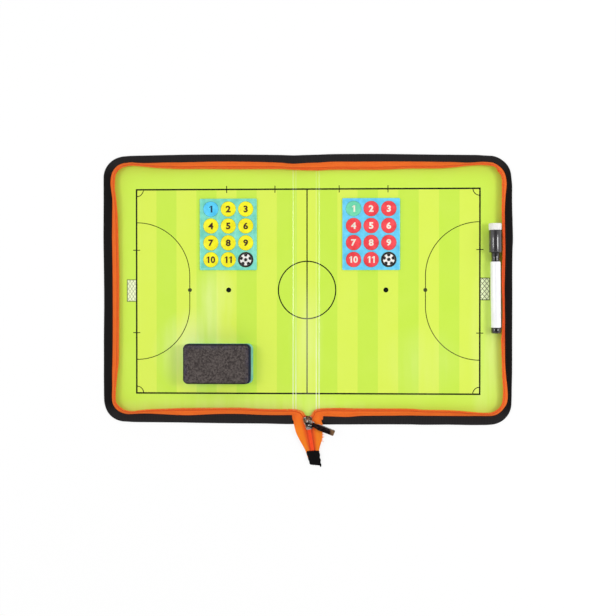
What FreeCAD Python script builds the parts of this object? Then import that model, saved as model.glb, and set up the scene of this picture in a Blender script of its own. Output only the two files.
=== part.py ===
import FreeCAD, Part
import os
from math import asin, atan2, cos, degrees, radians, sin, sqrt

os.makedirs("parts", exist_ok=True)
V = FreeCAD.Vector

# Case lying open, seen from above: X along its length, Y across, underside on Z = 0
case_length = 533.0
case_width = 352.0
corner_radius = 28.0
edge_swell = 1.5
spine_width = 30.2
fold_axis_height = 1.0
fold_clearance = 0.15

# Layers of the cover, from the underside up
cover_thickness = 1.2
stiffener_thickness = 1.5
steel_thickness = 0.3
film_thickness = 0.5
panel_inset = 14.0
sewn_clearance = 0.05

# Ribbon folded round the edge
binding_width = 10.2
binding_thickness = 0.5
binding_fold_bevel = 0.7

# Zip tape standing on the edge and leaning in over the pitch
tape_thickness = 0.7
tape_foot_inset = 2.0
tape_root_gap = 0.5
tape_stand = 9.9
coil_width = 2.7
coil_thickness = 1.9
lean_at_left_corner = 5.5
lean_at_right_corner = 1.0
lean_at_long_edge = 9.0
lean_at_left_end = 9.3
lean_at_right_end = 3.2

# Free tail of the zip at the foot of the spine
tail_x = 2.9
tail_edge_gap = 1.5
tail_yaw = 9.0
tail_chain_end = 36.0
tail_tape_end = 49.0
chain_half_width = 2.7
chain_half_thickness = 1.0
chain_core = 0.7
tooth_pitch = 2.8
tooth_width = 1.1
tooth_overlap = 0.8
branch_overlap = 0.2
split_u = 1.2
splay_u = -3.0
branch_reach = 6.4
branch_drop = 4.0
tab_start = 35.8
tab_end = 58.2
tab_half_width = 8.9
tab_thickness = 2.4
tab_corner_cut = 1.6
tab_slant = 3.4
tab_taper = 2.2

# Slider of the zip
slider_length = 17.0
slider_mouth_half_width = 6.0
slider_heel_half_width = 4.2
slider_plate = 1.1
slider_rim_bevel = 0.35
slider_clearance = 0.3
slider_seat_gap = 0.3
wedge_half_width = 1.7
bail_width = 1.0
bail_thickness = 0.9
bail_window_height = 2.3
bail_window_front = -3.4
bail_window_heel = 2.2

# Pull tab of the slider
pull_angle = 59.6
pull_length = 36.4
pull_half_width = 4.0
pull_shoulder = 6.5
pull_eye_half_width = 3.35
pull_eye_length = 5.0
pull_bar = 1.3
pull_thickness = 1.3
pull_bar_gap = 2.65
pull_recess = 0.3

# Magnet sheets and the discs punched from them
sheet_margin_x = 4.45
sheet_margin_y = 3.5
sheet_thickness = 1.3
sheet_corner_radius = 1.5
disc_diameter = 20.0
disc_gap = 0.3
disc_sides = 18
disc_pitch_x = 22.8
disc_pitch_y = 22.0
disc_columns = 3
disc_rows = 4
left_sheet_crease_gap = 49.16
right_sheet_crease_gap = 32.16
sheet_edge_gap = 58.6

# Board eraser
eraser_end_gap = 107.7
eraser_edge_gap = 52.6
eraser_length = 88.2
eraser_width = 52.0
eraser_foam_height = 15.0
eraser_felt_height = 4.5
eraser_corner_radius = 6.5
eraser_felt_margin = 0.5
eraser_felt_bevel = 0.8
eraser_magnet_length = 60.0
eraser_magnet_width = 19.0
eraser_magnet_height = 1.5

# Marker pen, measured along its axis from the plug to the felt
marker_end_gap = 21.7
marker_foot_gap = 118.6
marker_yaw = 0.74
marker_plug_length = 7.3
marker_barrel_length = 84.7
marker_neck_length = 11.8
marker_cap_length = 28.6
marker_felt_length = 8.9
marker_plug_radius = 6.25
marker_barrel_radius = 6.5
marker_bore_radius = 5.5
marker_neck_radius = 5.2
marker_nose_radius = 4.0
marker_nib_radius = 2.1
marker_cap_radius = 8.0
marker_felt_radius = 8.25
marker_reservoir_radius = 5.2
marker_spigot_length = 9.0
marker_nose_length = 7.0
marker_nib_reach = 6.0
marker_nib_edge = 0.5
marker_cap_overlap = 8.0
marker_cap_wall = 3.4
marker_clearance = 0.3
flute_count = 8
flute_width = 1.8
flute_depth = 0.6

half_length = case_length / 2
half_width = case_width / 2
crease_x = spine_width / 2
stiffener_z = cover_thickness
steel_z = stiffener_z + stiffener_thickness
film_z = steel_z + steel_thickness
film_top = film_z + film_thickness
tape_foot_top = cover_thickness + tape_thickness
slot_top = tape_foot_top + sewn_clearance
binding_height = slot_top + binding_thickness

# Each half's long edge is one shallow arc that runs smoothly into the round corner
corner_x = half_length - corner_radius
swell_x = (crease_x + corner_x) / 2
swell_half = corner_x - swell_x
swell_radius = (swell_half ** 2 + edge_swell ** 2) / (2 * edge_swell)
swell_y = half_width - swell_radius
corner_y = swell_y + sqrt((swell_radius - corner_radius) ** 2 - swell_half ** 2)
joint_angle = atan2(corner_y - swell_y, corner_x - swell_x)


def crease_y(inset):
    return swell_y + sqrt((swell_radius - inset) ** 2 - swell_half ** 2)


def curve(start, middle, end):
    chord = end - start
    off_line = (middle - start).cross(chord).Length / chord.Length
    if off_line < 0.001:
        return Part.LineSegment(start, end).toShape()
    return Part.Arc(start, middle, end).toShape()


# One rail runs round a half from the crease at the top to the crease at the foot.
# Its distance from the outline and its height are given at the crease, long edge, corner and end.
def half_rail(side, crease, long_edge, corner, end):
    radius = corner_radius - corner[0]
    joint = (corner_x + radius * cos(joint_angle), corner_y + radius * sin(joint_angle))
    round_middle = (corner_x + radius * cos(joint_angle / 2), corner_y + radius * sin(joint_angle / 2))
    upper = [
        V(side * crease_x, crease_y(crease[0]), crease[1]),
        V(side * swell_x, half_width - long_edge[0], long_edge[1]),
        V(side * joint[0], joint[1], corner[1]),
        V(side * round_middle[0], round_middle[1], corner[1]),
        V(side * (corner_x + radius), corner_y, corner[1]),
    ]
    middle = V(side * (half_length - end[0]), 0, end[1])
    lower = [V(p.x, -p.y, p.z) for p in reversed(upper)]
    return [
        curve(upper[0], upper[1], upper[2]),
        curve(upper[2], upper[3], upper[4]),
        curve(upper[4], middle, lower[0]),
        curve(lower[0], lower[1], lower[2]),
        curve(lower[2], lower[3], lower[4]),
    ]


def half_plate(side, inset, z, thickness):
    spot = (inset, z)
    edges = half_rail(side, spot, spot, spot, spot)
    top = V(side * crease_x, crease_y(inset), z)
    foot = V(side * crease_x, -crease_y(inset), z)
    edges.append(Part.LineSegment(foot, top).toShape())
    return Part.Face(Part.Wire(edges)).extrude(V(0, 0, thickness))


def level_edge(edge):
    low = min(v.Z for v in edge.Vertexes)
    high = max(v.Z for v in edge.Vertexes)
    return high - low < 0.001


def top_rim(edge):
    return level_edge(edge) and edge.CenterOfMass.z > binding_height - 0.001


# Face between two rails: flat where both lie at one height, else ruled
def strip(here, there):
    rise = abs(here.Vertexes[0].Z - there.Vertexes[0].Z)
    if rise > 0.001 or not level_edge(here) or not level_edge(there):
        return Part.makeRuledSurface(here, there)
    ends = [Part.makeLine(here.Vertexes[k].Point, there.Vertexes[k].Point) for k in (0, -1)]
    return Part.Face(Part.Wire(Part.__sortEdges__([here, there] + ends)))


# Solid with one face between each rail and the next
def rail_solid(rails):
    faces = []
    for here, there in zip(rails, rails[1:] + rails[:1]):
        faces += [strip(a, b) for a, b in zip(here, there)]
    for piece, vertex in ((0, 0), (-1, -1)):
        corners = [rail[piece].Vertexes[vertex].Point for rail in rails]
        faces.append(Part.Face(Part.makePolygon(corners + corners[:1])))
    shell = Part.makeShell(faces)
    shell.sewShape()
    solid = Part.Solid(shell)
    if solid.Volume < 0:
        solid.reverse()
    return solid


def polygon_prism(points, direction):
    return Part.Face(Part.makePolygon(points + points[:1])).extrude(direction)


def span_box(x0, x1, y0, y1, z0, z1):
    return Part.makeBox(x1 - x0, y1 - y0, z1 - z0, V(x0, y0, z0))


# Room that each half and the spine may fill: mitred above the fold axis, so that the case can close
room_reach = case_width * 2
room_top = crease_x - 1.5
room_low = -1.0


def half_room(side):
    near = side * (crease_x + fold_clearance)
    far = side * case_length
    points = [
        V(far, -room_reach / 2, room_low),
        V(near, -room_reach / 2, room_low),
        V(near, -room_reach / 2, fold_axis_height),
        V(near + side * room_top, -room_reach / 2, fold_axis_height + room_top),
        V(far, -room_reach / 2, fold_axis_height + room_top),
    ]
    return polygon_prism(points, V(0, room_reach, 0))


def spine_room():
    edge = crease_x - fold_clearance
    points = [
        V(-edge, -room_reach / 2, room_low),
        V(edge, -room_reach / 2, room_low),
        V(edge, -room_reach / 2, fold_axis_height),
        V(edge - room_top, -room_reach / 2, fold_axis_height + room_top),
        V(room_top - edge, -room_reach / 2, fold_axis_height + room_top),
        V(-edge, -room_reach / 2, fold_axis_height),
    ]
    return polygon_prism(points, V(0, room_reach, 0))


def spine_plate(inset, z, thickness):
    reach = crease_y(inset)
    return span_box(-crease_x, crease_x, -reach, reach, z, z + thickness)


# A point of the leaning tape: along its slope, across its thickness, for a lean of the free edge
tape_root_inset = binding_width + tape_root_gap
tape_root_z = cover_thickness + tape_thickness / 2
tape_reach = tape_stand + coil_width


def tape_spot(along, across, lean):
    run = lean / tape_reach
    rise = sqrt(1 - run ** 2)
    inset = tape_root_inset + along * run + across * rise
    z = tape_root_z + along * rise - across * run
    return (inset, z)


def leaning_rail(side, along, across):
    lean_at_corner = lean_at_left_corner if side < 0 else lean_at_right_corner
    lean_at_end = lean_at_left_end if side < 0 else lean_at_right_end
    leans = (lean_at_long_edge, lean_at_long_edge, lean_at_corner, lean_at_end)
    spots = [tape_spot(along, across, lean) for lean in leans]
    return half_rail(side, spots[0], spots[1], spots[2], spots[3])


def level_rail(side, inset, z):
    spot = (inset, z)
    return half_rail(side, spot, spot, spot, spot)


coil_profile = (
    (0.0, -0.3),
    (0.4, -0.5),
    (1.0, -0.25),
    (1.0, 0.25),
    (0.4, 0.5),
    (0.0, 0.3),
)


def build_half(name, side):
    room = half_room(side)
    lower = half_plate(side, binding_width + sewn_clearance, 0, cover_thickness)
    edge_z = binding_thickness + sewn_clearance
    edge = half_plate(side, edge_z, edge_z, cover_thickness - edge_z)
    cover = lower.fuse(edge).removeSplitter().common(room)
    cover.exportStep("parts/" + name + "_cover.step")

    stiffener = half_plate(side, panel_inset, stiffener_z, stiffener_thickness).common(room)
    stiffener.exportStep("parts/" + name + "_stiffener.step")

    steel = half_plate(side, panel_inset, steel_z, steel_thickness).common(room)
    steel.exportStep("parts/" + name + "_steel_sheet.step")

    film = half_plate(side, panel_inset, film_z, film_thickness).common(room)
    film.exportStep("parts/" + name + "_pitch_film.step")

    ribbon = half_plate(side, 0, 0, binding_height)
    outer = [e for e in ribbon.Edges if top_rim(e) and abs(e.CenterOfMass.x) > crease_x + 1]
    ribbon = ribbon.makeChamfer(binding_fold_bevel, outer)
    ribbon = ribbon.cut(half_plate(side, binding_width, -1, binding_height + 2))
    ribbon = ribbon.cut(half_plate(side, binding_thickness, binding_thickness, slot_top - binding_thickness))
    ribbon.common(room).exportStep("parts/" + name + "_edge_binding.step")

    half_tape = tape_thickness / 2
    tape = rail_solid(
        [
            level_rail(side, tape_foot_inset, cover_thickness),
            level_rail(side, tape_root_inset + half_tape, cover_thickness),
            leaning_rail(side, tape_stand, half_tape),
            leaning_rail(side, tape_stand, -half_tape),
            level_rail(side, tape_root_inset - half_tape, tape_foot_top),
            level_rail(side, tape_foot_inset, tape_foot_top),
        ]
    )
    tape.common(room).exportStep("parts/" + name + "_zip_tape.step")

    start = tape_stand + sewn_clearance
    rails = [leaning_rail(side, start + coil_width * s, coil_thickness * n) for s, n in coil_profile]
    rail_solid(rails).common(room).exportStep("parts/" + name + "_zip_coil.step")


build_half("left", -1)
build_half("right", 1)

# Spine strip between the two creases
room = spine_room()
edge_z = binding_thickness + sewn_clearance
lower = spine_plate(binding_width + sewn_clearance, 0, cover_thickness)
edge = spine_plate(edge_z, edge_z, cover_thickness - edge_z)
lower.fuse(edge).removeSplitter().common(room).exportStep("parts/spine_cover.step")
spine_plate(panel_inset, stiffener_z, stiffener_thickness + steel_thickness).common(room).exportStep(
    "parts/spine_stiffener.step"
)
spine_plate(panel_inset, film_z, film_thickness).common(room).exportStep("parts/spine_pitch_film.step")


def spine_binding():
    ribbon = span_box(-crease_x, crease_x, crease_y(binding_width), crease_y(0), 0, binding_height)
    outer = [e for e in ribbon.Edges if top_rim(e) and abs(e.CenterOfMass.y - crease_y(0)) < 0.001]
    ribbon = ribbon.makeChamfer(binding_fold_bevel, outer)
    slot = span_box(-crease_x, crease_x, 0, crease_y(binding_thickness), binding_thickness, slot_top)
    return ribbon.cut(slot).common(room)


head_binding = spine_binding()
foot_binding = head_binding.mirror(V(0, 0, 0), V(0, 1, 0))
Part.makeCompound([head_binding, foot_binding]).exportStep("parts/spine_edge_binding.step")


def spine_tape_point(inset, z):
    return V(-crease_x, crease_y(inset), z)


half_tape = tape_thickness / 2
inner_top = tape_spot(tape_reach, half_tape, lean_at_long_edge)
outer_top = tape_spot(tape_reach, -half_tape, lean_at_long_edge)
head_points = [
    spine_tape_point(tape_foot_inset, cover_thickness),
    spine_tape_point(tape_root_inset + half_tape, cover_thickness),
    spine_tape_point(inner_top[0], inner_top[1]),
    spine_tape_point(outer_top[0], outer_top[1]),
    spine_tape_point(tape_root_inset - half_tape, tape_foot_top),
    spine_tape_point(tape_foot_inset, tape_foot_top),
]
polygon_prism(head_points, V(spine_width, 0, 0)).common(room).exportStep("parts/spine_zip_tape.step")

# Tail of the zip: its own frame runs along the chain, across it and up, centred on the slider at rest
channel_half = chain_half_thickness + slider_clearance
slider_half = channel_half + slider_plate
tail_z = binding_height + slider_seat_gap + slider_half
tail_pitch = degrees(asin((tail_z - tab_thickness / 2) / tab_end))
tail_turn = FreeCAD.Rotation(V(0, 0, 1), tail_yaw - 90).multiply(FreeCAD.Rotation(V(0, 1, 0), tail_pitch))
tail_place = FreeCAD.Placement(V(tail_x, tail_edge_gap - half_width, tail_z), tail_turn)


def on_tail(shape):
    placed = shape.copy()
    placed.Placement = tail_place.multiply(placed.Placement)
    return placed


def flat_prism(points, low, high):
    return polygon_prism([V(u, v, low) for u, v in points], V(0, 0, high - low))


slider_front = -slider_length / 2
branch_inner = wedge_half_width + slider_clearance
branch_outer = branch_inner + chain_half_width
branch_slope = sqrt(branch_reach ** 2 + branch_drop ** 2)
mouth_u = slider_front - 0.1
branch_tip = (mouth_u - branch_reach, branch_inner + branch_drop)
tip_step = (branch_drop / branch_slope * chain_half_width, branch_reach / branch_slope * chain_half_width)
outer_tip = (branch_tip[0] + tip_step[0], branch_tip[1] + tip_step[1])
branch_points = [
    (split_u, -branch_overlap),
    (splay_u, branch_inner),
    (mouth_u, branch_inner),
    branch_tip,
    outer_tip,
    (mouth_u + 0.7, branch_outer),
    (splay_u, branch_outer),
    (split_u, chain_half_width),
]
stem_points = [
    (split_u, -chain_half_width),
    (tail_chain_end, -chain_half_width),
    (tail_chain_end, chain_half_width),
    (split_u, chain_half_width),
]
chain_low = -chain_half_thickness
core = flat_prism(stem_points, -chain_core / 2, chain_core / 2)
right_branch = flat_prism(branch_points, chain_low, chain_half_thickness)
left_branch = right_branch.mirror(V(0, 0, 0), V(0, 1, 0))

# Behind the slider the loops of the two coils lie alternately across the middle of the chain
teeth = []
tooth_count = int((tail_chain_end - split_u) / tooth_pitch * 2) - 1
for tooth in range(tooth_count):
    start = split_u + tooth_pitch / 2 * tooth + 0.4
    side = 1 if tooth % 2 else -1
    outer = side * chain_half_width
    inner = -side * tooth_overlap
    low_v, high_v = min(outer, inner), max(outer, inner)
    teeth.append(span_box(start, start + tooth_width, low_v, high_v, chain_low, chain_half_thickness))
chain = core.fuse([right_branch, left_branch] + teeth).removeSplitter()
on_tail(chain).exportStep("parts/tail_chain.step")


# Tape half of the tail: straight along the chain, with a soft free edge on the other side
def tail_tape(side, free_edge):
    inner = [
        (tail_tape_end, chain_half_width),
        (split_u, chain_half_width),
        (splay_u, branch_outer),
        (mouth_u + 0.7, branch_outer),
        outer_tip,
    ]
    inner = [V(u, side * v, -half_tape) for u, v in inner]
    outer = [V(u, side * v, -half_tape) for u, v in free_edge]
    edges = [Part.LineSegment(a, b).toShape() for a, b in zip(inner, inner[1:])]
    edges.append(Part.LineSegment(inner[-1], outer[0]).toShape())
    edges.append(Part.Arc(outer[0], outer[1], outer[2]).toShape())
    edges.append(Part.Arc(outer[2], outer[3], outer[4]).toShape())
    edges.append(Part.LineSegment(outer[-1], inner[0]).toShape())
    return Part.Face(Part.Wire(edges)).extrude(V(0, 0, tape_thickness))


tab_tape_half_width = tab_half_width - 1.4
left_free_edge = [
    (-13.0, 17.4),
    (-3.0, 19.2),
    (11.0, 17.6),
    (tab_start - 1.5, tab_half_width + 0.6),
    (tail_tape_end, tab_tape_half_width),
]
right_free_edge = [
    (-12.0, 17.0),
    (-1.0, 18.2),
    (10.0, 17.2),
    (24.0, 13.9),
    (tail_tape_end, tab_tape_half_width),
]
left_tail_tape = on_tail(tail_tape(-1, left_free_edge))
right_tail_tape = on_tail(tail_tape(1, right_free_edge))
edge_foot = -half_width - slider_clearance


# Over the case the tail keeps inside the mitre of each fold
def fold_cutter(side):
    near = side * (crease_x - fold_clearance)
    far = side * (crease_x + room_top)
    points = [
        V(far, edge_foot, room_low),
        V(near, edge_foot, room_low),
        V(near, edge_foot, fold_axis_height),
        V(near - side * room_top, edge_foot, fold_axis_height + room_top),
        V(far, edge_foot, fold_axis_height + room_top),
    ]
    return polygon_prism(points, V(0, room_reach / 2, 0))


left_tail_tape = left_tail_tape.cut(fold_cutter(-1))
right_tail_tape = right_tail_tape.cut(fold_cutter(1))
Part.makeCompound([left_tail_tape, right_tail_tape]).exportStep("parts/tail_tapes.step")

# Black end tab folded over the ends of both tapes
tab_slot_half = half_tape + sewn_clearance
tab_points = [
    (tab_start, -tab_half_width),
    (tab_end - tab_slant, tab_taper - tab_half_width),
    (tab_end, tab_half_width - tab_taper / 2),
    (tab_start + tab_slant / 2, tab_half_width),
]
tab = flat_prism(tab_points, -tab_thickness / 2, tab_thickness / 2)
tab_posts = [e for e in tab.Edges if not level_edge(e)]
tab = tab.makeChamfer(tab_corner_cut, tab_posts)
tab_slot_end = tail_tape_end + slider_clearance
tab_slot = span_box(0, tab_slot_end, -2 * tab_half_width, 2 * tab_half_width, -tab_slot_half, tab_slot_half)
on_tail(tab.cut(tab_slot)).exportStep("parts/tail_end_tab.step")

# Slider: two plates held apart by a wedge, with a flanged Y channel for the coils and a slit for the tapes
slider_heel = slider_length / 2
heel_taper_u = 3.5
heel_straight = slider_heel - 0.8
mouth_straight = slider_front + 0.9


def slider_outline(low, high):
    mouth = slider_mouth_half_width
    heel = slider_heel_half_width
    shoulder = V(mouth_straight, mouth, low)
    waist = V(splay_u, mouth, low)
    hip = V(heel_taper_u, heel, low)
    foot = V(heel_straight, heel, low)
    mirrored = [V(p.x, -p.y, p.z) for p in (shoulder, waist, hip, foot)]
    edges = [
        Part.LineSegment(shoulder, waist).toShape(),
        Part.LineSegment(waist, hip).toShape(),
        Part.LineSegment(hip, foot).toShape(),
        Part.Arc(foot, V(slider_heel, 0, low), mirrored[3]).toShape(),
        Part.LineSegment(mirrored[3], mirrored[2]).toShape(),
        Part.LineSegment(mirrored[2], mirrored[1]).toShape(),
        Part.LineSegment(mirrored[1], mirrored[0]).toShape(),
        Part.Arc(mirrored[0], V(slider_front, 0, low), shoulder).toShape(),
    ]
    return Part.Face(Part.Wire(edges)).extrude(V(0, 0, high - low))


channel_stem = chain_half_width + slider_clearance
channel_mouth = branch_outer + slider_clearance
channel_points = [
    (slider_heel + 1, channel_stem),
    (split_u + slider_clearance, channel_stem),
    (splay_u + slider_clearance, channel_mouth),
    (slider_front - 1, channel_mouth),
    (slider_front - 1, -channel_mouth),
    (splay_u + slider_clearance, -channel_mouth),
    (split_u + slider_clearance, -channel_stem),
    (slider_heel + 1, -channel_stem),
]
slit_half = half_tape + slider_clearance
slider_outside = 2 * slider_mouth_half_width
body = slider_outline(-slider_half, slider_half)
rims = [e for e in body.Edges if level_edge(e)]
body = body.makeChamfer(slider_rim_bevel, rims)
body = body.cut(flat_prism(channel_points, -channel_half, channel_half))
body = body.cut(span_box(-slider_length, slider_length, -slider_outside, slider_outside, -slit_half, slit_half))
wedge_points = [
    (slider_front + 1.0, 0),
    (slider_front + 4.6, wedge_half_width),
    (split_u - 1.0, 0),
    (slider_front + 4.6, -wedge_half_width),
]
wedge = flat_prism(wedge_points, -slider_half + 0.3, slider_half - 0.3)

# Bail: an arch along the top plate, under which the bar of the pull passes
bail_under = slider_half + bail_window_height
bail_top = bail_under + bail_thickness
bail_root = slider_half - 0.3
bail_points = [
    V(bail_window_front - 1.6, -bail_width / 2, bail_root),
    V(bail_window_front - 0.5, -bail_width / 2, bail_top - 0.7),
    V(bail_window_front + 0.4, -bail_width / 2, bail_top),
    V(bail_window_heel - 0.3, -bail_width / 2, bail_top),
    V(bail_window_heel + 0.6, -bail_width / 2, bail_top - 0.5),
    V(bail_window_heel + 0.9, -bail_width / 2, bail_root),
    V(bail_window_heel, -bail_width / 2, bail_root),
    V(bail_window_heel, -bail_width / 2, bail_under),
    V(bail_window_front, -bail_width / 2, bail_under),
    V(bail_window_front - 0.4, -bail_width / 2, bail_root),
]
bail = polygon_prism(bail_points, V(0, bail_width, 0))
on_tail(body.fuse([wedge, bail]).removeSplitter()).exportStep("parts/zip_slider.step")

# Pull tab: an eye round the bail, a waist and a broad leaf with a sunk panel
eye_outer = pull_eye_half_width + 0.9
eye_end = pull_bar / 2 + pull_eye_length
waist_u = eye_end + 3.0
waist_half = pull_half_width * 0.62
pull_top = pull_thickness / 2
pull_outline = [
    (-pull_bar / 2, -eye_outer),
    (eye_end + 0.6, -eye_outer),
    (waist_u, -waist_half),
    (waist_u + pull_shoulder, -pull_half_width),
    (pull_length, -pull_half_width),
    (pull_length, pull_half_width),
    (waist_u + pull_shoulder, pull_half_width),
    (waist_u, waist_half),
    (eye_end + 0.6, eye_outer),
    (-pull_bar / 2, eye_outer),
]
pull = flat_prism(pull_outline, -pull_top, pull_top)
pull_posts = [e for e in pull.Edges if not level_edge(e) and e.CenterOfMass.x > pull_length - 1]
pull = pull.makeFillet(1.4, pull_posts)
eye = span_box(pull_bar / 2, eye_end, -pull_eye_half_width, pull_eye_half_width, -pull_thickness, pull_thickness)
panel_start = waist_u + pull_shoulder + 1.0
panel_half = pull_half_width - 1.3
upper_panel = span_box(
    panel_start, pull_length - 1.6, -panel_half, panel_half, pull_top - pull_recess, pull_thickness
)
lower_panel = span_box(
    panel_start, pull_length - 1.6, -panel_half, panel_half, -pull_thickness, pull_recess - pull_top
)
pull = pull.cut(eye).cut(upper_panel).cut(lower_panel)
bar_height = slider_half + pull_top + (bail_window_height - pull_thickness) / 2
pull_turn = FreeCAD.Rotation(V(0, 0, 1), pull_angle)
pull.Placement = FreeCAD.Placement(V(bail_window_heel - pull_bar_gap, 0, bar_height), pull_turn)
on_tail(pull).exportStep("parts/zip_pull.step")


def many_sided(radius, sides, centre, height):
    turns = [radians(360 / sides * k) for k in range(sides)]
    points = [centre + V(radius * cos(t), radius * sin(t), 0) for t in turns]
    return polygon_prism(points, V(0, 0, height))


sheet_length = (disc_columns - 1) * disc_pitch_x + disc_diameter + 2 * sheet_margin_x
sheet_width = (disc_rows - 1) * disc_pitch_y + disc_diameter + 2 * sheet_margin_y
sheet_y = half_width - sheet_edge_gap - sheet_width / 2


# Magnet sheet with a punched hole round each disc
def build_sheet(name, centre_x):
    sheet = span_box(
        centre_x - sheet_length / 2,
        centre_x + sheet_length / 2,
        sheet_y - sheet_width / 2,
        sheet_y + sheet_width / 2,
        film_top,
        film_top + sheet_thickness,
    )
    posts = [e for e in sheet.Edges if not level_edge(e)]
    sheet = sheet.makeFillet(sheet_corner_radius, posts)
    holes = []
    for row in range(disc_rows):
        for column in range(disc_columns):
            x = centre_x + (column - (disc_columns - 1) / 2) * disc_pitch_x
            y = sheet_y + ((disc_rows - 1) / 2 - row) * disc_pitch_y
            spot = V(x, y, film_top)
            holes.append(many_sided(disc_diameter / 2 + disc_gap, disc_sides, spot, sheet_thickness))
            disc = many_sided(disc_diameter / 2, disc_sides, spot, sheet_thickness)
            number = row * disc_columns + column + 1
            label = "ball" if number == disc_rows * disc_columns else "player_" + str(number)
            disc.exportStep("parts/" + name + "_" + label + ".step")
    sheet.cut(Part.makeCompound(holes)).exportStep("parts/" + name + "_magnet_sheet.step")


build_sheet("left", -(crease_x + left_sheet_crease_gap + sheet_length / 2))
build_sheet("right", crease_x + right_sheet_crease_gap + sheet_length / 2)


eraser_x = eraser_end_gap + eraser_length / 2 - half_length
eraser_y = eraser_edge_gap + eraser_width / 2 - half_width


# Eraser lying felt side up on its magnet strip
def eraser_block(margin, z, height):
    block = span_box(
        eraser_x - eraser_length / 2 + margin,
        eraser_x + eraser_length / 2 - margin,
        eraser_y - eraser_width / 2 + margin,
        eraser_y + eraser_width / 2 - margin,
        z,
        z + height,
    )
    posts = [e for e in block.Edges if not level_edge(e)]
    return block.makeFillet(eraser_corner_radius - margin, posts)


felt_z = film_top + eraser_foam_height
magnet = span_box(
    eraser_x - eraser_magnet_length / 2,
    eraser_x + eraser_magnet_length / 2,
    eraser_y - eraser_magnet_width / 2,
    eraser_y + eraser_magnet_width / 2,
    film_top,
    film_top + eraser_magnet_height,
)
eraser_block(0, film_top, eraser_foam_height).cut(magnet).exportStep("parts/eraser_foam.step")
magnet.exportStep("parts/eraser_magnet.step")
felt = eraser_block(eraser_felt_margin, felt_z, eraser_felt_height)
rims = [e for e in felt.Edges if level_edge(e) and e.CenterOfMass.z > felt_z + eraser_felt_height / 2]
felt.makeChamfer(eraser_felt_bevel, rims).exportStep("parts/eraser_felt.step")

# Marker: turned pieces on one axis, lying on the rim of its plug and of its felt
barrel_z = marker_plug_length
neck_z = barrel_z + marker_barrel_length
mouth_z = neck_z + marker_neck_length
cap_end_z = mouth_z + marker_cap_length
marker_length = cap_end_z + marker_felt_length
marker_tilt = asin((marker_felt_radius - marker_plug_radius) / marker_length)
marker_foot_z = film_top + marker_clearance + marker_plug_radius
marker_turn = FreeCAD.Rotation(V(0, 0, 1), marker_yaw)
marker_axis = marker_turn.multVec(V(0, cos(marker_tilt), sin(marker_tilt)))
marker_place = FreeCAD.Placement(
    V(half_length - marker_end_gap, marker_foot_gap - half_width, marker_foot_z),
    FreeCAD.Rotation(V(0, 0, 1), marker_axis),
)


def turned(points):
    outline = [V(r, 0, z) for r, z in points]
    face = Part.Face(Part.makePolygon(outline + outline[:1]))
    return face.revolve(V(0, 0, 0), V(0, 0, 1), 360)


def on_marker(shape):
    placed = shape.copy()
    placed.Placement = marker_place.multiply(placed.Placement)
    return placed


spigot_z = neck_z - marker_spigot_length
plug_spigot = barrel_z + marker_spigot_length / 2
collar_end = mouth_z + marker_cap_overlap
nose_end = collar_end + marker_nose_length
nib_end = nose_end + marker_nib_reach
barrel = turned(
    [
        (marker_bore_radius, barrel_z),
        (marker_barrel_radius, barrel_z),
        (marker_barrel_radius, neck_z),
        (marker_bore_radius, neck_z),
    ]
)
on_marker(barrel).exportStep("parts/marker_barrel.step")

plug = turned(
    [
        (0, 0),
        (marker_plug_radius, 0),
        (marker_plug_radius, barrel_z),
        (marker_bore_radius, barrel_z),
        (marker_bore_radius, plug_spigot),
        (0, plug_spigot),
    ]
)
flute_floor = marker_plug_radius - flute_depth
flute_points = [
    V(flute_floor, 0, 0),
    V(marker_plug_radius + flute_depth, flute_width, 0),
    V(marker_plug_radius + flute_depth, -flute_width, 0),
]
for flute in range(flute_count):
    groove = polygon_prism(flute_points, V(0, 0, marker_plug_length - flute_depth))
    groove.rotate(V(0, 0, 0), V(0, 0, 1), 360 / flute_count * flute)
    plug = plug.cut(groove)
on_marker(plug).exportStep("parts/marker_end_plug.step")

reservoir = Part.makeCylinder(marker_reservoir_radius, spigot_z - plug_spigot, V(0, 0, plug_spigot))
on_marker(reservoir).exportStep("parts/marker_ink_reservoir.step")

holder = turned(
    [
        (marker_nib_radius, spigot_z),
        (marker_bore_radius, spigot_z),
        (marker_bore_radius, neck_z),
        (marker_neck_radius, neck_z),
        (marker_neck_radius, collar_end),
        (marker_nose_radius, collar_end),
        (marker_nose_radius, nose_end),
        (marker_nib_radius, nose_end),
    ]
)
on_marker(holder).exportStep("parts/marker_nib_holder.step")

# Chisel point: two flats meet at a blunt edge
nib = Part.makeCylinder(marker_nib_radius, nib_end - spigot_z, V(0, 0, spigot_z))
for side in (-1, 1):
    flat = [
        V(side * marker_nib_edge, -marker_nib_radius * 2, nib_end),
        V(side * marker_nib_radius * 2, -marker_nib_radius * 2, nib_end),
        V(side * marker_nib_radius * 2, -marker_nib_radius * 2, nib_end - marker_nib_reach),
    ]
    nib = nib.cut(polygon_prism(flat, V(0, marker_nib_radius * 4, 0)))
on_marker(nib).exportStep("parts/marker_nib.step")

cap_bore = marker_neck_radius + marker_clearance
cap = turned(
    [
        (cap_bore, mouth_z),
        (marker_cap_radius, mouth_z),
        (marker_cap_radius, cap_end_z),
        (0, cap_end_z),
        (0, cap_end_z - marker_cap_wall),
        (cap_bore, cap_end_z - marker_cap_wall),
    ]
)
on_marker(cap).exportStep("parts/marker_cap.step")

cap_felt = Part.makeCylinder(marker_felt_radius, marker_felt_length, V(0, 0, cap_end_z))
on_marker(cap_felt).exportStep("parts/marker_cap_felt.step")
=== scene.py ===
import bpy
import math
import random
from mathutils import Matrix, Vector


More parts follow.
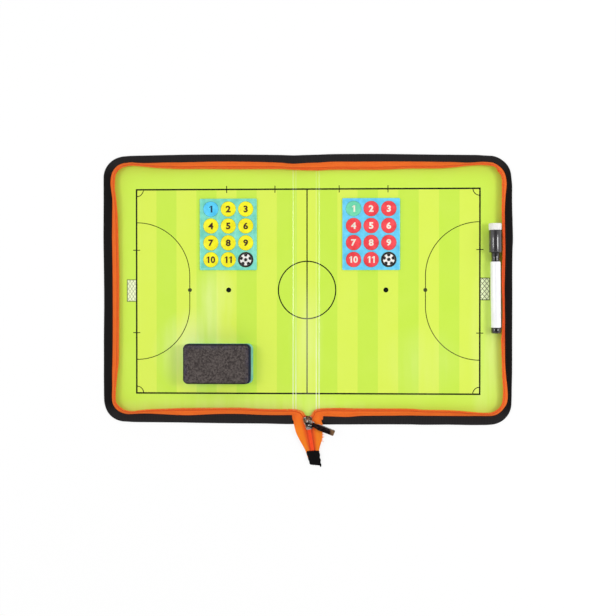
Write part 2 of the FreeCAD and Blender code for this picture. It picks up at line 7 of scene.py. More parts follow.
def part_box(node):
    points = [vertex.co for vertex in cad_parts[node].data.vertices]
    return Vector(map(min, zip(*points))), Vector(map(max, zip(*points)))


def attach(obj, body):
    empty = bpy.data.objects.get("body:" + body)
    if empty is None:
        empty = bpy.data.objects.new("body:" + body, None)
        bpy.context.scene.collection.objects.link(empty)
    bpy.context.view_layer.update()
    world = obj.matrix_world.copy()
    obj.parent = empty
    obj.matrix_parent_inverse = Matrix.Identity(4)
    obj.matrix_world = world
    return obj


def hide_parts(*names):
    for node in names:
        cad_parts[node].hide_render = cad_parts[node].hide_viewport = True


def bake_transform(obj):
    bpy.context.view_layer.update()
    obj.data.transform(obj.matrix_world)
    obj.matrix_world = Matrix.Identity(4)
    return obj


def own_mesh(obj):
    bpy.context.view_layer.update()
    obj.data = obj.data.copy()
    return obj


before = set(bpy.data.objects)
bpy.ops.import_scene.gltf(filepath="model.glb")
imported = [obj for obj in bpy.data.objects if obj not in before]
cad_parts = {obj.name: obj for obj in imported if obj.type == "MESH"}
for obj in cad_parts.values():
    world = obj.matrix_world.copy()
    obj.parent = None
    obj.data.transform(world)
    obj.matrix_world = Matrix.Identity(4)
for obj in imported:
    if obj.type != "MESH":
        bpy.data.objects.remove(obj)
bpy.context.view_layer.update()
mm = 0.001
random.seed(11)
bpy.context.scene.view_settings.view_transform = "Standard"
print("frame loaded:", len(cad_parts), "nodes")


class Flow:  # one socket of a finish, so that shader maths reads as plain maths
    def __init__(self, finish, socket):
        self.finish = finish
        self.socket = socket

    def sum(self, operation, *values):
        return self.finish.node("ShaderNodeMath", {"operation": operation}, dict(enumerate(values)))

    def __rsub__(self, other):
        return self.sum("SUBTRACT", other, self)

    def __abs__(self):
        return self.sum("ABSOLUTE", self)

    def sine(self):
        return self.sum("SINE", self)


for word, kind in {  # signs of plain maths and the node operation of each
    "add": "ADD", "sub": "SUBTRACT", "mul": "MULTIPLY", "truediv": "DIVIDE", "mod": "FLOORED_MODULO", "pow": "POWER",
    "lt": "LESS_THAN", "gt": "GREATER_THAN", "or": "MAXIMUM", "and": "MINIMUM",
}.items():
    setattr(Flow, f"__{word}__", lambda self, other, kind=kind: self.sum(kind, self, other))


class Nodes:  # the node tree of a finish or of the sky
    def __init__(self, tree):
        self.tree = tree

    def node(self, kind, settings=None, inputs=None, output=0):
        made = self.tree.nodes.new(kind)
        for key, value in (settings or {}).items():
            if key == "stops":
                for k, (at, colour) in enumerate(value):
                    stop = made.color_ramp.elements[k] if k < 2 else made.color_ramp.elements.new(at)
                    stop.position = at
                    stop.color = colour
            else:
                setattr(made, key, value)
        for key, value in (inputs or {}).items():
            self.feed(made.inputs[key], value)
        return Flow(self, made.outputs[output])

    def feed(self, socket, value):
        if isinstance(value, Flow):
            self.tree.links.new(value.socket, socket)
        else:
            socket.default_value = value

    def split(self, vector):
        parts = self.node("ShaderNodeSeparateXYZ", None, {0: vector}).socket.node
        return [Flow(self, parts.outputs[k]) for k in range(3)]

    def mixed(self, factor, first, second):
        return self.node("ShaderNodeMix", {"data_type": "RGBA"}, {0: factor, 6: first, 7: second}, 2)

    def ranged(self, value, low, high, toLow=0.0, toHigh=1.0):
        return self.node("ShaderNodeMapRange", None, {0: value, 1: low, 2: high, 3: toLow, 4: toHigh})


class Finish(Nodes):  # one material: fixed values go straight on the shader, the rest is fed
    def __init__(self, name, **fixed):
        self.material = bpy.data.materials.new(name)
        self.material.use_nodes = True
        super().__init__(self.material.node_tree)
        self.shader = self.tree.nodes["Principled BSDF"]
        for key, value in fixed.items():
            self.shader.inputs[key.replace("_", " ")].default_value = value

    def give(self, **fed):
        for key, value in fed.items():
            self.feed(self.shader.inputs[key.replace("_", " ")], value)
        return self

    def spots(self):
        return self.node("ShaderNodeTexCoord", None, None, "Object")

    def mapped(self, uvName):
        return self.node("ShaderNodeUVMap", {"uv_map": uvName})

    def noise(self, vector, scale, detail=2.0, rough=0.5):
        inputs = {"Vector": vector, "Scale": scale, "Detail": detail, "Roughness": rough}
        return self.node("ShaderNodeTexNoise", None, inputs)

    def stretched(self, vector, scale):
        return self.node("ShaderNodeVectorMath", {"operation": "MULTIPLY"}, {0: vector, 1: scale})

    def bumped(self, height, distance, strength=1.0):
        inputs = {"Height": height, "Distance": distance, "Strength": strength}
        return self.give(Normal=self.node("ShaderNodeBump", None, inputs))

    def along(self, vector, way):  # how far a spot lies along a direction
        return self.node("ShaderNodeVectorMath", {"operation": "DOT_PRODUCT"}, {0: vector, 1: way}, "Value")

    def surface(self, tone, grain, low, high):  # base colour, and a roughness that follows the grain
        return self.give(Base_Color=tone, Roughness=self.ranged(grain, 0.3, 0.7, low, high))


def paint(red, green, blue):  # a colour as a photo editor shows it, 0 to 255
    def plain(value):
        value = value / 255
        return value / 12.92 if value <= 0.04045 else ((value + 0.055) / 1.055) ** 2.4
    return (plain(red), plain(green), plain(blue), 1.0)


# small habits of modelling
def clearPick():
    bpy.ops.object.select_all(action="DESELECT")


def pick(piece):
    clearPick()
    piece.select_set(True)
    bpy.context.view_layer.objects.active = piece


def named(name):
    piece = bpy.context.object
    piece.name = name
    piece.data.name = name
    return piece


def settle(piece):  # its place goes into its mesh
    pick(piece)
    bpy.ops.object.transform_apply(location=True, rotation=True, scale=True)
    return piece


def modify(piece, kind, **settings):
    pick(piece)
    modifier = piece.modifiers.new(kind.lower(), kind)
    for key, value in settings.items():
        setattr(modifier, key, value)
    bpy.ops.object.modifier_apply(modifier=modifier.name)
    return piece


def editAll(piece, *steps):  # each step works on the whole mesh
    pick(piece)
    bpy.ops.object.mode_set(mode="EDIT")
    for step in steps:
        bpy.ops.mesh.select_all(action="SELECT")
        step()
    bpy.ops.object.mode_set(mode="OBJECT")
    return piece


def closeUp(piece, gap=1e-6):
    def merge():
        bpy.ops.mesh.remove_doubles(threshold=gap)
    def outward():
        bpy.ops.mesh.normals_make_consistent(inside=False)
    return editAll(piece, merge, outward)


def smooth(piece, degrees=35):
    pick(piece)
    bpy.ops.object.shade_smooth_by_angle(angle=math.radians(degrees))
    return piece


def dress(piece, finish):
    piece.data.materials.clear()
    piece.data.materials.append(finish.material)
    return piece


def mount(piece, body, node):  # moves with its body and stands for its CAD node
    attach(piece, body)
    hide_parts(node)


def rounded(piece, width, segments, degrees):  # bevels the edges that turn more than that, width in mm
    angle = math.radians(degrees)
    return modify(piece, "BEVEL", width=width * mm, segments=segments, limit_method="ANGLE", angle_limit=angle)


def join(first, *others):
    clearPick()
    for piece in (first, *others):
        piece.select_set(True)
    bpy.context.view_layer.objects.active = first
    bpy.ops.object.join()
    return first


def bevelUpright(piece, width, segments):  # rounds the corners that stand along Z
    pick(piece)
    bpy.ops.object.mode_set(mode="EDIT")
    bpy.ops.mesh.select_mode(type="EDGE")
    bpy.ops.mesh.select_all(action="DESELECT")
    bpy.ops.object.mode_set(mode="OBJECT")
    spots = piece.data.vertices
    for edge in piece.data.edges:
        run = spots[edge.vertices[0]].co - spots[edge.vertices[1]].co
        edge.select = abs(run.z) > 0.9 * run.length
    bpy.ops.object.mode_set(mode="EDIT")
    bpy.ops.mesh.bevel(offset=width, segments=segments, profile=0.5, affect="EDGES")
    bpy.ops.mesh.select_mode(type="VERT")
    bpy.ops.object.mode_set(mode="OBJECT")
    return piece


def block(name, low, high):  # a box between two corners
    clearPick()
    bpy.ops.mesh.primitive_cube_add(size=1, location=(Vector(low) + Vector(high)) / 2)
    piece = named(name)
    piece.scale = Vector(high) - Vector(low)
    return settle(piece)


def laid(name, columns, rows, place, mapName, mapOf):  # a grid laid point by point, with its own map
    clearPick()
    bpy.ops.mesh.primitive_grid_add(x_subdivisions=columns, y_subdivisions=rows, size=2, calc_uvs=False)
    piece = named(name)
    mesh = piece.data
    cells = [(round((v.co.x + 1) / 2 * columns), round((v.co.y + 1) / 2 * rows)) for v in mesh.vertices]
    for vertex, cell in zip(mesh.vertices, cells):
        vertex.co = Vector(place(*cell)) * mm
    layer = mesh.uv_layers.new(name=mapName)
    for loop in mesh.loops:
        layer.data[loop.index].uv = Vector(mapOf(*cells[loop.vertex_index])) * mm
    return piece


def turned(name, profile, sides):  # rings pushed up from a disc, (radius, height) in mm
    clearPick()
    radius, height = profile[0]
    start = (0, 0, height * mm)
    bpy.ops.mesh.primitive_circle_add(vertices=sides, radius=radius * mm, fill_type="NGON", location=start)
    piece = settle(named(name))
    bpy.ops.object.mode_set(mode="EDIT")
    bpy.ops.mesh.select_all(action="SELECT")
    for (r0, z0), (r1, z1) in zip(profile, profile[1:]):
        bpy.ops.mesh.extrude_region_move(TRANSFORM_OT_translate={"value": (0, 0, (z1 - z0) * mm)})
        bpy.ops.transform.resize(value=(r1 / r0, r1 / r0, 1), center_override=(0, 0, z1 * mm))
    bpy.ops.object.mode_set(mode="OBJECT")
    return closeUp(piece, 1e-8)


def refined(nodeName, name, bevel, segments):  # a softened copy of a CAD node
    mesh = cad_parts[nodeName].data.copy()
    piece = bpy.data.objects.new(name, mesh)
    bpy.context.scene.collection.objects.link(piece)
    def merge():
        bpy.ops.mesh.remove_doubles(threshold=2e-6)
    def flatten():
        bpy.ops.mesh.dissolve_limited(angle_limit=math.radians(2))
    def outward():
        bpy.ops.mesh.normals_make_consistent(inside=False)
    editAll(piece, merge, flatten, outward)
    return smooth(rounded(piece, bevel, segments, 25), 40)


def strewn(name, pattern, places):  # one small mesh, copied to many places
    verts, faces = [], []
    for place in places:
        start = len(verts)
        verts += [place @ v.co for v in pattern.data.vertices]
        faces += [[start + k for k in f.vertices] for f in pattern.data.polygons]
    mesh = bpy.data.meshes.new(name)
    mesh.from_pydata(verts, [], faces)
    piece = bpy.data.objects.new(name, mesh)
    bpy.context.scene.collection.objects.link(piece)
    bpy.data.objects.remove(pattern)
    return piece


# the open case: its outline and layers, in mm
caseShape = {
    "halfLength": 266.5, "halfWidth": 176, "corner": 28, "swell": 1.5, "crease": 15.1,
    "foldZ": 1.0, "filmInset": 14, "filmTop": 3.47, "filmThick": 0.5, "coverInset": 9.8,
    "coverThick": 1.0, "tongueHalf": 13, "tongueReach": 5.0, "footHalf": 20,
    "bendReach": 6, "turnColumns": 14, "sheetFill": 0.97,  # share of its flat box that a rounded sheet fills
    "stiffFold": (5, 5, 0), "tapeFold": (9, 9, 0), "tailFold": (3, 11, 42),  # reach on spine and half, slant
}
cornerX = caseShape["halfLength"] - caseShape["corner"]
swellX = (caseShape["crease"] + cornerX) / 2
swellHalf = cornerX - swellX
swellRadius = (swellHalf ** 2 + caseShape["swell"] ** 2) / (2 * caseShape["swell"])
swellY = caseShape["halfWidth"] - swellRadius
cornerY = swellY + math.sqrt((swellRadius - caseShape["corner"]) ** 2 - swellHalf ** 2)
cornerTurn = math.atan2(cornerY - swellY, cornerX - swellX)
headTurn = math.pi - math.acos(swellHalf / swellRadius)
headY = swellY + swellRadius * math.sin(headTurn)


def edgeY(x, inset):
    if x <= caseShape["crease"]:
        return headY - inset
    radius = caseShape["corner"] - inset
    if x > cornerX + radius * math.cos(cornerTurn):
        return cornerY + math.sqrt(max(0, radius ** 2 - (x - cornerX) ** 2))
    return swellY + math.sqrt((swellRadius - inset) ** 2 - (x - swellX) ** 2)


def caseWalk(step):  # (x, y, outward x, outward y, run) from the head of the spine round to its foot
    def arc(cx, cy, radius, start, end):
        count = max(2, round(abs(end - start) * radius / step))
        turns = [start + (end - start) * k / count for k in range(1, count + 1)]
        return [(cx + radius * math.cos(t), cy + radius * math.sin(t), math.cos(t), math.sin(t)) for t in turns]
    count = round(caseShape["crease"] / step)
    upper = [(caseShape["crease"] * k / count, headY, 0, 1) for k in range(count + 1)]
    upper += arc(swellX, swellY, swellRadius, headTurn, cornerTurn)
    upper += arc(cornerX, cornerY, caseShape["corner"], cornerTurn, 0)
    count = round(cornerY / step)
    upper += [(caseShape["halfLength"], cornerY * (1 - k / count), 1, 0) for k in range(1, count + 1)]
    points = upper + [(x, -y, ox, -oy) for x, y, ox, oy in reversed(upper[:-1])]
    stations, run = [], 0
    for k, point in enumerate(points):
        if k:
            run += math.dist(point[:2], points[k - 1][:2])
        stations.append((*point, run))
    return stations


sideNames = {-1: "left", 1: "right"}
caseRun = caseWalk(2.0)[-1][4]

# how the soft edge lies round each half, by its run from the head of the spine to its foot, as insets in mm:
# run, outer edge, inner edge of the ribbon, coil edge of the zip tape
edgeRows = {
    -1: (
        (0, 0, 10.7, 21.2), (17, 0.5, 11.6, 20.3), (33, 0.3, 10.6, 19.8), (65, 0.3, 10, 20.5),
        (113, 0.2, 9.7, 20.4), (161, 0.1, 10.3, 20), (177, 0.2, 10.2, 19.1), (193, 0.2, 10.2, 18.2),
        (209, 0.2, 10.3, 16.3), (221, 0.1, 9.8, 14.8), (230, 0.1, 8.8, 14.2), (239, 0.5, 9.5, 16),
        (247, 0.8, 10.1, 17.4), (263, 0.6, 10.7, 18.2), (279, 0.1, 10.3, 18.2), (289, 0, 9.4, 17.6),
        (299, 0, 10.2, 17.6), (311, 0, 11.7, 18.9), (333, -0.1, 11.6, 20.6), (365, -0.3, 11.4, 21.7),
        (397, 0.1, 11.9, 22.2), (445, 0.5, 12.2, 22.6), (493, 0, 12.1, 22), (525, 0, 11.6, 21.8),
        (541, -0.1, 11.2, 20.2), (557, 0, 11.2, 18.3), (570, 0.1, 10.9, 17.6), (583, 0.6, 11.5, 18.4),
        (599, 0.1, 11.7, 19.4), (615, 0, 11.1, 18.3), (623, -0.2, 10, 15.9), (631, -0.4, 10.5, 14.9),
        (647, -0.2, 11.4, 17.2), (659, 0, 11.3, 18.4), (691, 0.3, 10.3, 20.2), (707, 0.2, 10.3, 20.5),
        (739, -0.1, 12, 21), (771, -0.5, 12.1, 21.2), (803, -1, 10.5, 19.2), (835, -2.2, 9.8, 18.7),
        (858, -2.2, 9.8, 18.7),
    ),
    1: (
        (0, 0, 10.7, 21.2), (17, -0.3, 10.3, 21.2), (33, -0.4, 9.7, 21), (65, 0.1, 10.4, 21.9),
        (97, 0.6, 10.7, 22.2), (129, 1.3, 11, 21.5), (161, 1.8, 11.3, 21.2), (177, 1.9, 11.5, 20.6),
        (193, 1.9, 11.6, 19.3), (209, 1.9, 12.2, 17.4), (221, 1.8, 11.3, 16.3), (229, 2.2, 10.7, 16.1),
        (239, 2.5, 11.1, 16.7), (255, 3.1, 12, 17.4), (267, 2.5, 11.2, 18.9), (279, 1.6, 9.5, 17.3),
        (288, 0.7, 7.6, 14.8), (295, 0, 7.2, 14.7), (311, 0, 8.7, 14.4), (320, -0.1, 9.3, 14.5),
        (333, -0.4, 9.5, 14.5), (338, -0.6, 9.5, 14.4), (347, -0.8, 9.3, 14), (365, -1.2, 9, 13.8),
        (381, -0.6, 8.8, 13.7), (413, -0.4, 9.3, 14.4), (429, -0.5, 9.7, 14.2), (461, -0.5, 9.2, 13.4),
        (477, -0.4, 9.1, 13.8), (486, -0.4, 9.2, 14.2), (494, -0.4, 9.1, 15.1), (509, -0.4, 9, 14.8),
        (525, -0.4, 8.8, 14.4), (541, -0.3, 7.6, 14), (557, 0.1, 5.9, 12.8), (568, 0.2, 5.3, 12.9),
        (577, 0.4, 6.3, 13.8), (585, -0.1, 8.1, 14.8), (599, -1, 9.4, 16), (615, -1.7, 9.7, 15.3),
        (625, -2.1, 9.7, 14.5), (635, -2, 10, 15), (647, -1.8, 10.1, 16.3), (659, -1.4, 10.3, 17.7),
        (675, -1, 10.6, 19), (707, -1, 11, 19.6), (723, -0.6, 11.3, 20.7), (755, -0.7, 10.8, 21),
        (787, -1.2, 10.1, 20.5), (803, -1.6, 8.5, 20.3), (819, -2, 8.5, 20.3), (835, -2.5, 8.6, 19.8),
        (858, -2.5, 8.6, 19.8),
    ),
}


def edgeLie(side, run):  # outer edge, ribbon and coil edge there, on a smooth curve through the rows
    rows = edgeRows[side]
    k = max(n for n, row in enumerate(rows[:-1]) if row[0] <= run)
    before, here, there, after = rows[max(k - 1, 0)], rows[k], rows[k + 1], rows[min(k + 2, len(rows) - 1)]
    span = there[0] - here[0]
    f = (run - here[0]) / span
    lie = []
    for n in (1, 2, 3):
        leave = (there[n] - before[n]) / (there[0] - before[0]) * span
        reach = (after[n] - here[n]) / (after[0] - here[0]) * span
        rise = there[n] - here[n]
        lie.append(here[n] + f * leave + f * f * (3 * rise - 2 * leave - reach) + f ** 3 * (leave + reach - 2 * rise))
    return lie


def ease(value):
    value = min(1, max(0, value))
    return value * value * (3 - 2 * value)


def crossCrease(piece, side, fold):  # works out the crease and the reach on spine and half, then only bakes the piece's place into its mesh
    onSpine, onHalf, slant = fold
    way = Vector((side * math.cos(math.radians(slant)), math.sin(math.radians(slant)), 0))
    crease = Vector((side * caseShape["crease"], -caseShape["halfWidth"] if slant else 0, caseShape["foldZ"]))
    half, spine = (crease + way * onHalf) * mm, (crease - way * onSpine) * mm
    if side < 0:
        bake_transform(piece)
    else:
        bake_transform(piece)


# printed film of the pitch
pitchShape = {
    "middleX": 1.27, "middleY": -3.44, "halfLength": 223.5, "halfWidth": 133.06, "stripe": 26.3,
    "line": 1.02, "midLine": 0.78, "thinLine": 0.55, "circle": 37.3, "circleY": -1.6, "cornerArc": 9,
    "area": 70, "areaHalf": 19.5, "areaY": -3.0,
    "spotX": 102.4, "spotRadius": 3.3, "areaSpotX": 153.3, "areaSpotRadius": 2.6,
    "tickX": (41.8, 105), "tickY": 54, "tickReach": 4.6, "goalDeep": 12.4, "goalHalf": 14.1, "goalY": (-2.25, -0.3),
    "netWide": (4.3, 5.6), "netHigh": 6.7, "wire": (0.075, 0.075), "netInk": (0.62, 0.97), "creaseLines": 1.85,
    # painted light on the film: pale patches against shade, and one reflection streak
    "paintedLight": (
        (-143, -82, 60, 60, 0.65), (234, -70, 24, 150, 0.36), (-80, -168, 220, 34, 0.4), (-122, -14, 31, 56, 0.42),
    ),
    "paintedSheen": ((0, -70, 24, 105, 0.2), (150, -95, 60, 50, 0.1)),
}


def pitchFinish():
    p = pitchShape
    finish = Finish("pitchPrint", Specular_IOR_Level=0.4, Coat_Weight=0.25, Coat_Roughness=0.08)
    place = finish.mapped("print")
    u, v, _ = finish.split(place)
    caseX, y = u * 1000, v * 1000
    x = caseX - p["middleX"]
    side = abs(x)
    def far(a, b):
        return (a * a + b * b) ** 0.5
    def near(value, reach):
        return abs(value) < reach
    edge = (side - p["halfLength"]) | (abs(y - p["middleY"]) - p["halfWidth"])
    inside = edge < 0
    stripe = ((x / p["stripe"] + 20.5) % 2) < 1
    wearAndHighlight = finish.noise(place, 26, 3)
    grass = finish.mixed(stripe, paint(202, 237, 77), paint(220, 242, 88))
    ground = finish.mixed(inside, paint(206, 241, 82), grass)
    ground = finish.mixed(finish.ranged(wearAndHighlight, 0.35, 0.75, 0, 0.12), ground, paint(226, 244, 120))
    patchNoise = finish.ranged(finish.noise(finish.stretched(place, (75, 8, 1)), 1.0, 3), 0.3, 0.62, 0.25, 1)
    def paintedPatches(ground, patches, colour):  # each patch as (x, y, half width, half height, strength)
        for spotX, spotY, wide, high, strength in patches:
            patchLight = finish.ranged(far((caseX - spotX) / wide, (y - spotY) / high), 1, 0.2) * patchNoise
            ground = finish.mixed(patchLight * strength, ground, colour)
        return ground
    ground = paintedPatches(ground, p["paintedLight"], paint(244, 255, 180))  # painted light: pale patches that lift the shade beside the eraser, the right wall and the bottom margin, and one painted reflection streak, under the lines
    # thick lines: outline, halfway line, circle and corner arcs
    lines = near(edge, p["line"]) | (near(x, p["midLine"]) & inside)
    lines = lines | near(far(x, y - p["circleY"]) - p["circle"], p["midLine"])
    corner = far(side - p["halfLength"], abs(y - p["middleY"]) - p["halfWidth"])
    lines = lines | (near(corner - p["cornerArc"], p["thinLine"]) & inside)
    # ticks on the far touch line and on the goal lines
    onTouch = near(y - p["middleY"] - p["halfWidth"], p["tickReach"])
    for tickX in p["tickX"]:
        lines = lines | (near(side - tickX, p["thinLine"]) & onTouch)
    onGoalLine = near(side - p["halfLength"], p["tickReach"])
    lines = lines | (near(abs(y - p["middleY"]) - p["tickY"], p["thinLine"]) & onGoalLine)
    # penalty areas and their spots
    post = (abs(y - p["areaY"]) - p["areaHalf"]) | 0.0
    area = near(far(p["halfLength"] - side, post) - p["area"], p["thinLine"]) & inside
    spot = far(side - p["spotX"], y - p["circleY"]) < p["spotRadius"]
    areaSpot = far(side - p["areaSpotX"], y - p["circleY"]) < p["areaSpotRadius"]
    # goals with their nets
    right = x > 0
    def either(values):  # first value on the left goal, second on the right one
        return right * (values[1] - values[0]) + values[0]
    goalX = p["halfLength"] + p["goalDeep"] / 2
    goal = (abs(side - goalX) - p["goalDeep"] / 2) | (abs(y - either(p["goalY"])) - p["goalHalf"])
    slant, lean = side / either(p["netWide"]), y / p["netHigh"]
    wire = either(p["wire"])
    net = near((slant + lean + 90) % 1 - 0.5, wire) | near((slant - lean + 90) % 1 - 0.5, wire)
    ground = finish.mixed((goal < 0) * 0.92, ground, paint(246, 254, 212))
    ground = finish.mixed((net & (goal < 0)) * either(p["netInk"]), ground, paint(40, 56, 14))
    ground = finish.mixed(near(goal, p["thinLine"]) * (right * 0.2 + 0.78), ground, paint(48, 64, 16))
    ground = finish.mixed(areaSpot, ground, paint(74, 84, 48))
    ground = finish.mixed(area, ground, paint(58, 66, 16))
    ground = finish.mixed(lines | spot, ground, paint(0, 12, 0))
    # painted highlight along the folds, strongest near the foot
    crease = abs(abs(abs(caseX) - caseShape["crease"]) - p["creaseLines"])
    toneAndGlint = finish.ranged(y, -20, -85, 0.2, 0.85) * finish.ranged(wearAndHighlight, 0.3, 0.6, 0.55, 1)
    creaseHighlight = finish.ranged(crease, 0.75, 0.25) * toneAndGlint
    ground = finish.mixed(creaseHighlight, ground, paint(250, 255, 226))
    ground = paintedPatches(ground, p["paintedSheen"], paint(250, 255, 214))  # painted reflection: pale sheen patches laid over the lines
    finish.give(Base_Color=ground, Roughness=finish.ranged(finish.noise(place, 60, 4), 0.3, 0.7, 0.13, 0.24))
    return finish.bumped(finish.noise(place, 17, 2), 0.0011, 0.35)


filmShape = {
    "columns": (12, 66), "rows": 90, "groove": 0.45, "grooveHalf": 0.6, "sag": 0.10,
    "tapeGap": (0.15, 0.2), "insets": (10.6, 17),  # gap above and beside the film, least and most inset
}


def filmEdge(side, run):  # the film ends where the leaning tape meets it
    t = tapeShape
    _, ribbon, coil = edgeLie(side, run)
    slope = (coil - ribbon - t["thick"] / 2) / t["reach"]
    rise = math.sqrt(1 - slope ** 2)
    above, beside = filmShape["tapeGap"]
    inset = ribbon + t["thick"] / 2 + (caseShape["filmTop"] + above - t["rootZ"]) * slope / rise
    inset += t["thick"] / 2 / rise + beside
    least, most = filmShape["insets"]
    return max(least, min(most, inset))


def columnsTo(end, bend, flat):  # from the middle of the spine to the end of a half, closest at the crease
    crease, reach, turn = caseShape["crease"], caseShape["bendReach"], caseShape["turnColumns"]
    xs = [crease * k / bend for k in range(bend)]
    xs += [crease + reach * k / bend for k in range(bend)]
    xs += [crease + reach + (cornerX - crease - reach) * k / flat for k in range(flat)]
    return xs + [cornerX + (end - cornerX) * math.sin(math.pi / 2 * k / turn) for k in range(turn + 1)]


def spread(piece, side, finish, thick, offset):  # an open sheet gets its thickness and looks
    closeUp(piece)
    turnUp(piece)
    modify(piece, "SOLIDIFY", thickness=thick * mm, offset=offset)
    dress(smooth(piece, 60), finish)
    crossCrease(piece, side, caseShape["stiffFold"])


def declareSheet(inset):
    width = (caseShape["halfLength"] - inset) * mm
    length = 2 * (caseShape["halfWidth"] - inset) * mm
    area = caseShape["sheetFill"] * width * length


def buildFilm():
    pitchPrint = pitchFinish()
    c, f = caseShape, filmShape
    end = c["halfLength"] - c["filmInset"]
    xs = columnsTo(end, *f["columns"])
    for side in (-1, 1):
        def flat(i, j):
            x = xs[i]
            head = edgeY(x, filmEdge(side, x))
            foot = c["filmInset"] + (filmEdge(side, caseRun - x) - c["filmInset"]) * ease((x - c["footHalf"]) / 10)
            tongue = c["tongueReach"] * ease((c["tongueHalf"] + 1.5 - x) / 3)  # goes under the zip
            foot = edgeY(x, foot) + tongue
            y = (head + foot) * j / f["rows"] - foot
            grow = c["filmInset"] - filmEdge(side, caseRun / 2 - max(-cornerY, min(cornerY, y)))
            return (side * (x + grow * ease((x - end + 20) / 20) * ease((cornerY + 14 - abs(y)) / 12)), y)
        def place(i, j):
            x, y = flat(i, j)
            x = abs(x)
            fromLine = abs(x - c["crease"]) - pitchShape["creaseLines"]
            groove = f["groove"] * math.exp(-(fromLine / f["grooveHalf"]) ** 2)
            sag = f["sag"] * (1 - math.cos(x / 9.1 + 0.02 * y)) * (0.5 + 0.5 * math.sin(y / 23 + x / 47))
            return (side * x, y, c["filmTop"] - groove - max(0, sag))
        name = sideNames[side]
        film = laid("pitchFilm_" + name, len(xs) - 1, f["rows"], place, "print", flat)
        spread(film, side, pitchPrint, c["filmThick"], -1)
        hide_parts(name + "_pitch_film", *(["spine_pitch_film"] if side < 0 else []))
        declareSheet(c["filmInset"])
    print("pitch film laid")


def turnUp(piece):  # an open sheet whose faces look down is turned over
    lift = sum(face.normal.z * face.area for face in piece.data.polygons)
    if lift < 0:
        editAll(piece, bpy.ops.mesh.flip_normals)


# outer cover, a woven black cloth
coverShape = {"columns": (10, 30), "rows": 40, "weave": 0.0011, "crown": (0.1, 0.08)}


def coverFinish():
    finish = Finish("coverCloth", Specular_IOR_Level=0.25, Sheen_Weight=0.1, Sheen_Roughness=0.5)
    u, v, _ = finish.split(finish.mapped("cloth"))
    over = (u * (2 * math.pi / coverShape["weave"])).sine()
    under = (v * (2 * math.pi / coverShape["weave"])).sine()
    weave = over * under
    fade = finish.noise(finish.mapped("cloth"), 40, 3)
    tone = finish.mixed(finish.ranged(weave, -1, 1), paint(20, 20, 22), paint(43, 42, 44))
    tone = finish.mixed(finish.ranged(fade, 0.4, 0.8, 0, 0.25), tone, paint(60, 58, 58))
    finish.give(Base_Color=tone, Roughness=finish.ranged(weave, -1, 1, 0.62, 0.82))
    return finish.bumped(weave, 0.00018)


def buildCover():
    coverCloth = coverFinish()
    inset, rows = caseShape["coverInset"], coverShape["rows"]
    xs = columnsTo(caseShape["halfLength"] - inset, *coverShape["columns"])
    for side in (-1, 1):
        def flat(i, j):
            return (side * xs[i], edgeY(xs[i], inset) * (2 * j / rows - 1))
        def place(i, j):
            x, y = flat(i, j)
            level, swing = coverShape["crown"]
            return (x, y, level + swing * math.sin(xs[i] / 31 + y / 43))
        name = sideNames[side]
        cover = laid("cover_" + name, len(xs) - 1, rows, place, "cloth", flat)
        spread(cover, side, coverCloth, caseShape["coverThick"], 1)
        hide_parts(name + "_cover", *(["spine_cover"] if side < 0 else []))
        declareSheet(inset)
    print("cover laid")


# ribbed ribbon folded round the edge, and its stitching
bindingShape = {
    "ribPitch": 2.05, "ribDepth": 0.16, "stationStep": 0.62, "stitchInset": 1.5, "stitchPitch": 3.3,
    "stitchLength": 2.3, "stitchWidth": 0.5, "stitchHigh": 0.34, "stitchZ": 2.42,
    "flapTop": 1.36, "flapUnder": 1.24, "width": 10.2, "middle": 1.225, "shadedEnd": (0.172, 0.15),
    "tailCut": {-1: (17.1, 0.0), 1: (19.4, 0.11)},
    "outer": ((10.2, 0.0), (7.0, 0.0), (4.0, 0.0), (1.6, 0.02), (0.55, 0.35), (0.08, 0.95), (0.08, 1.5),
              (0.5, 2.08), (1.5, 2.4), (3.4, 2.45), (6.5, 2.44), (9.6, 2.4), (10.2, 2.26)),
    "inner": ((10.2, 1.98), (6.5, 1.97), (0.95, 1.96), (0.65, 1.2), (0.95, 0.5), (6.5, 0.5), (10.2, 0.48)),
}


def ribbonFinish():
    finish = Finish("blackRibbon", Specular_IOR_Level=0.08, Sheen_Weight=0.02, Sheen_Roughness=0.4)
    place = finish.mapped("cloth")
    u = finish.split(place)[0]
    rib = ((u * (2 * math.pi / (bindingShape["ribPitch"] * mm))).sine() + 1) * 0.5
    yarn = finish.noise(finish.stretched(place, (500, 2600, 1)), 1.0, 2)
    tone = finish.mixed(rib, paint(26, 25, 26), paint(40, 38, 39))
    tone = finish.mixed(finish.ranged(yarn, 0.45, 0.75, 0, 0.4), tone, paint(54, 51, 51))
    ends = finish.ranged(abs(u - caseRun * mm / 2), *bindingShape["shadedEnd"])  # painted shade: the ends darker than the long sides
    tone = finish.mixed(ends * 0.75, tone, paint(10, 9, 9))
    finish.surface(tone, yarn, 0.48, 0.7)
    return finish.bumped(yarn, 0.0001)


def threadFinish():
    finish = Finish("blackThread", Specular_IOR_Level=0.3)
    strand = finish.noise(finish.spots(), 2400, 2)
    finish.surface(finish.mixed(strand, paint(16, 16, 18), paint(46, 45, 46)), strand, 0.4, 0.6)
    return finish.bumped(strand, 0.0001)


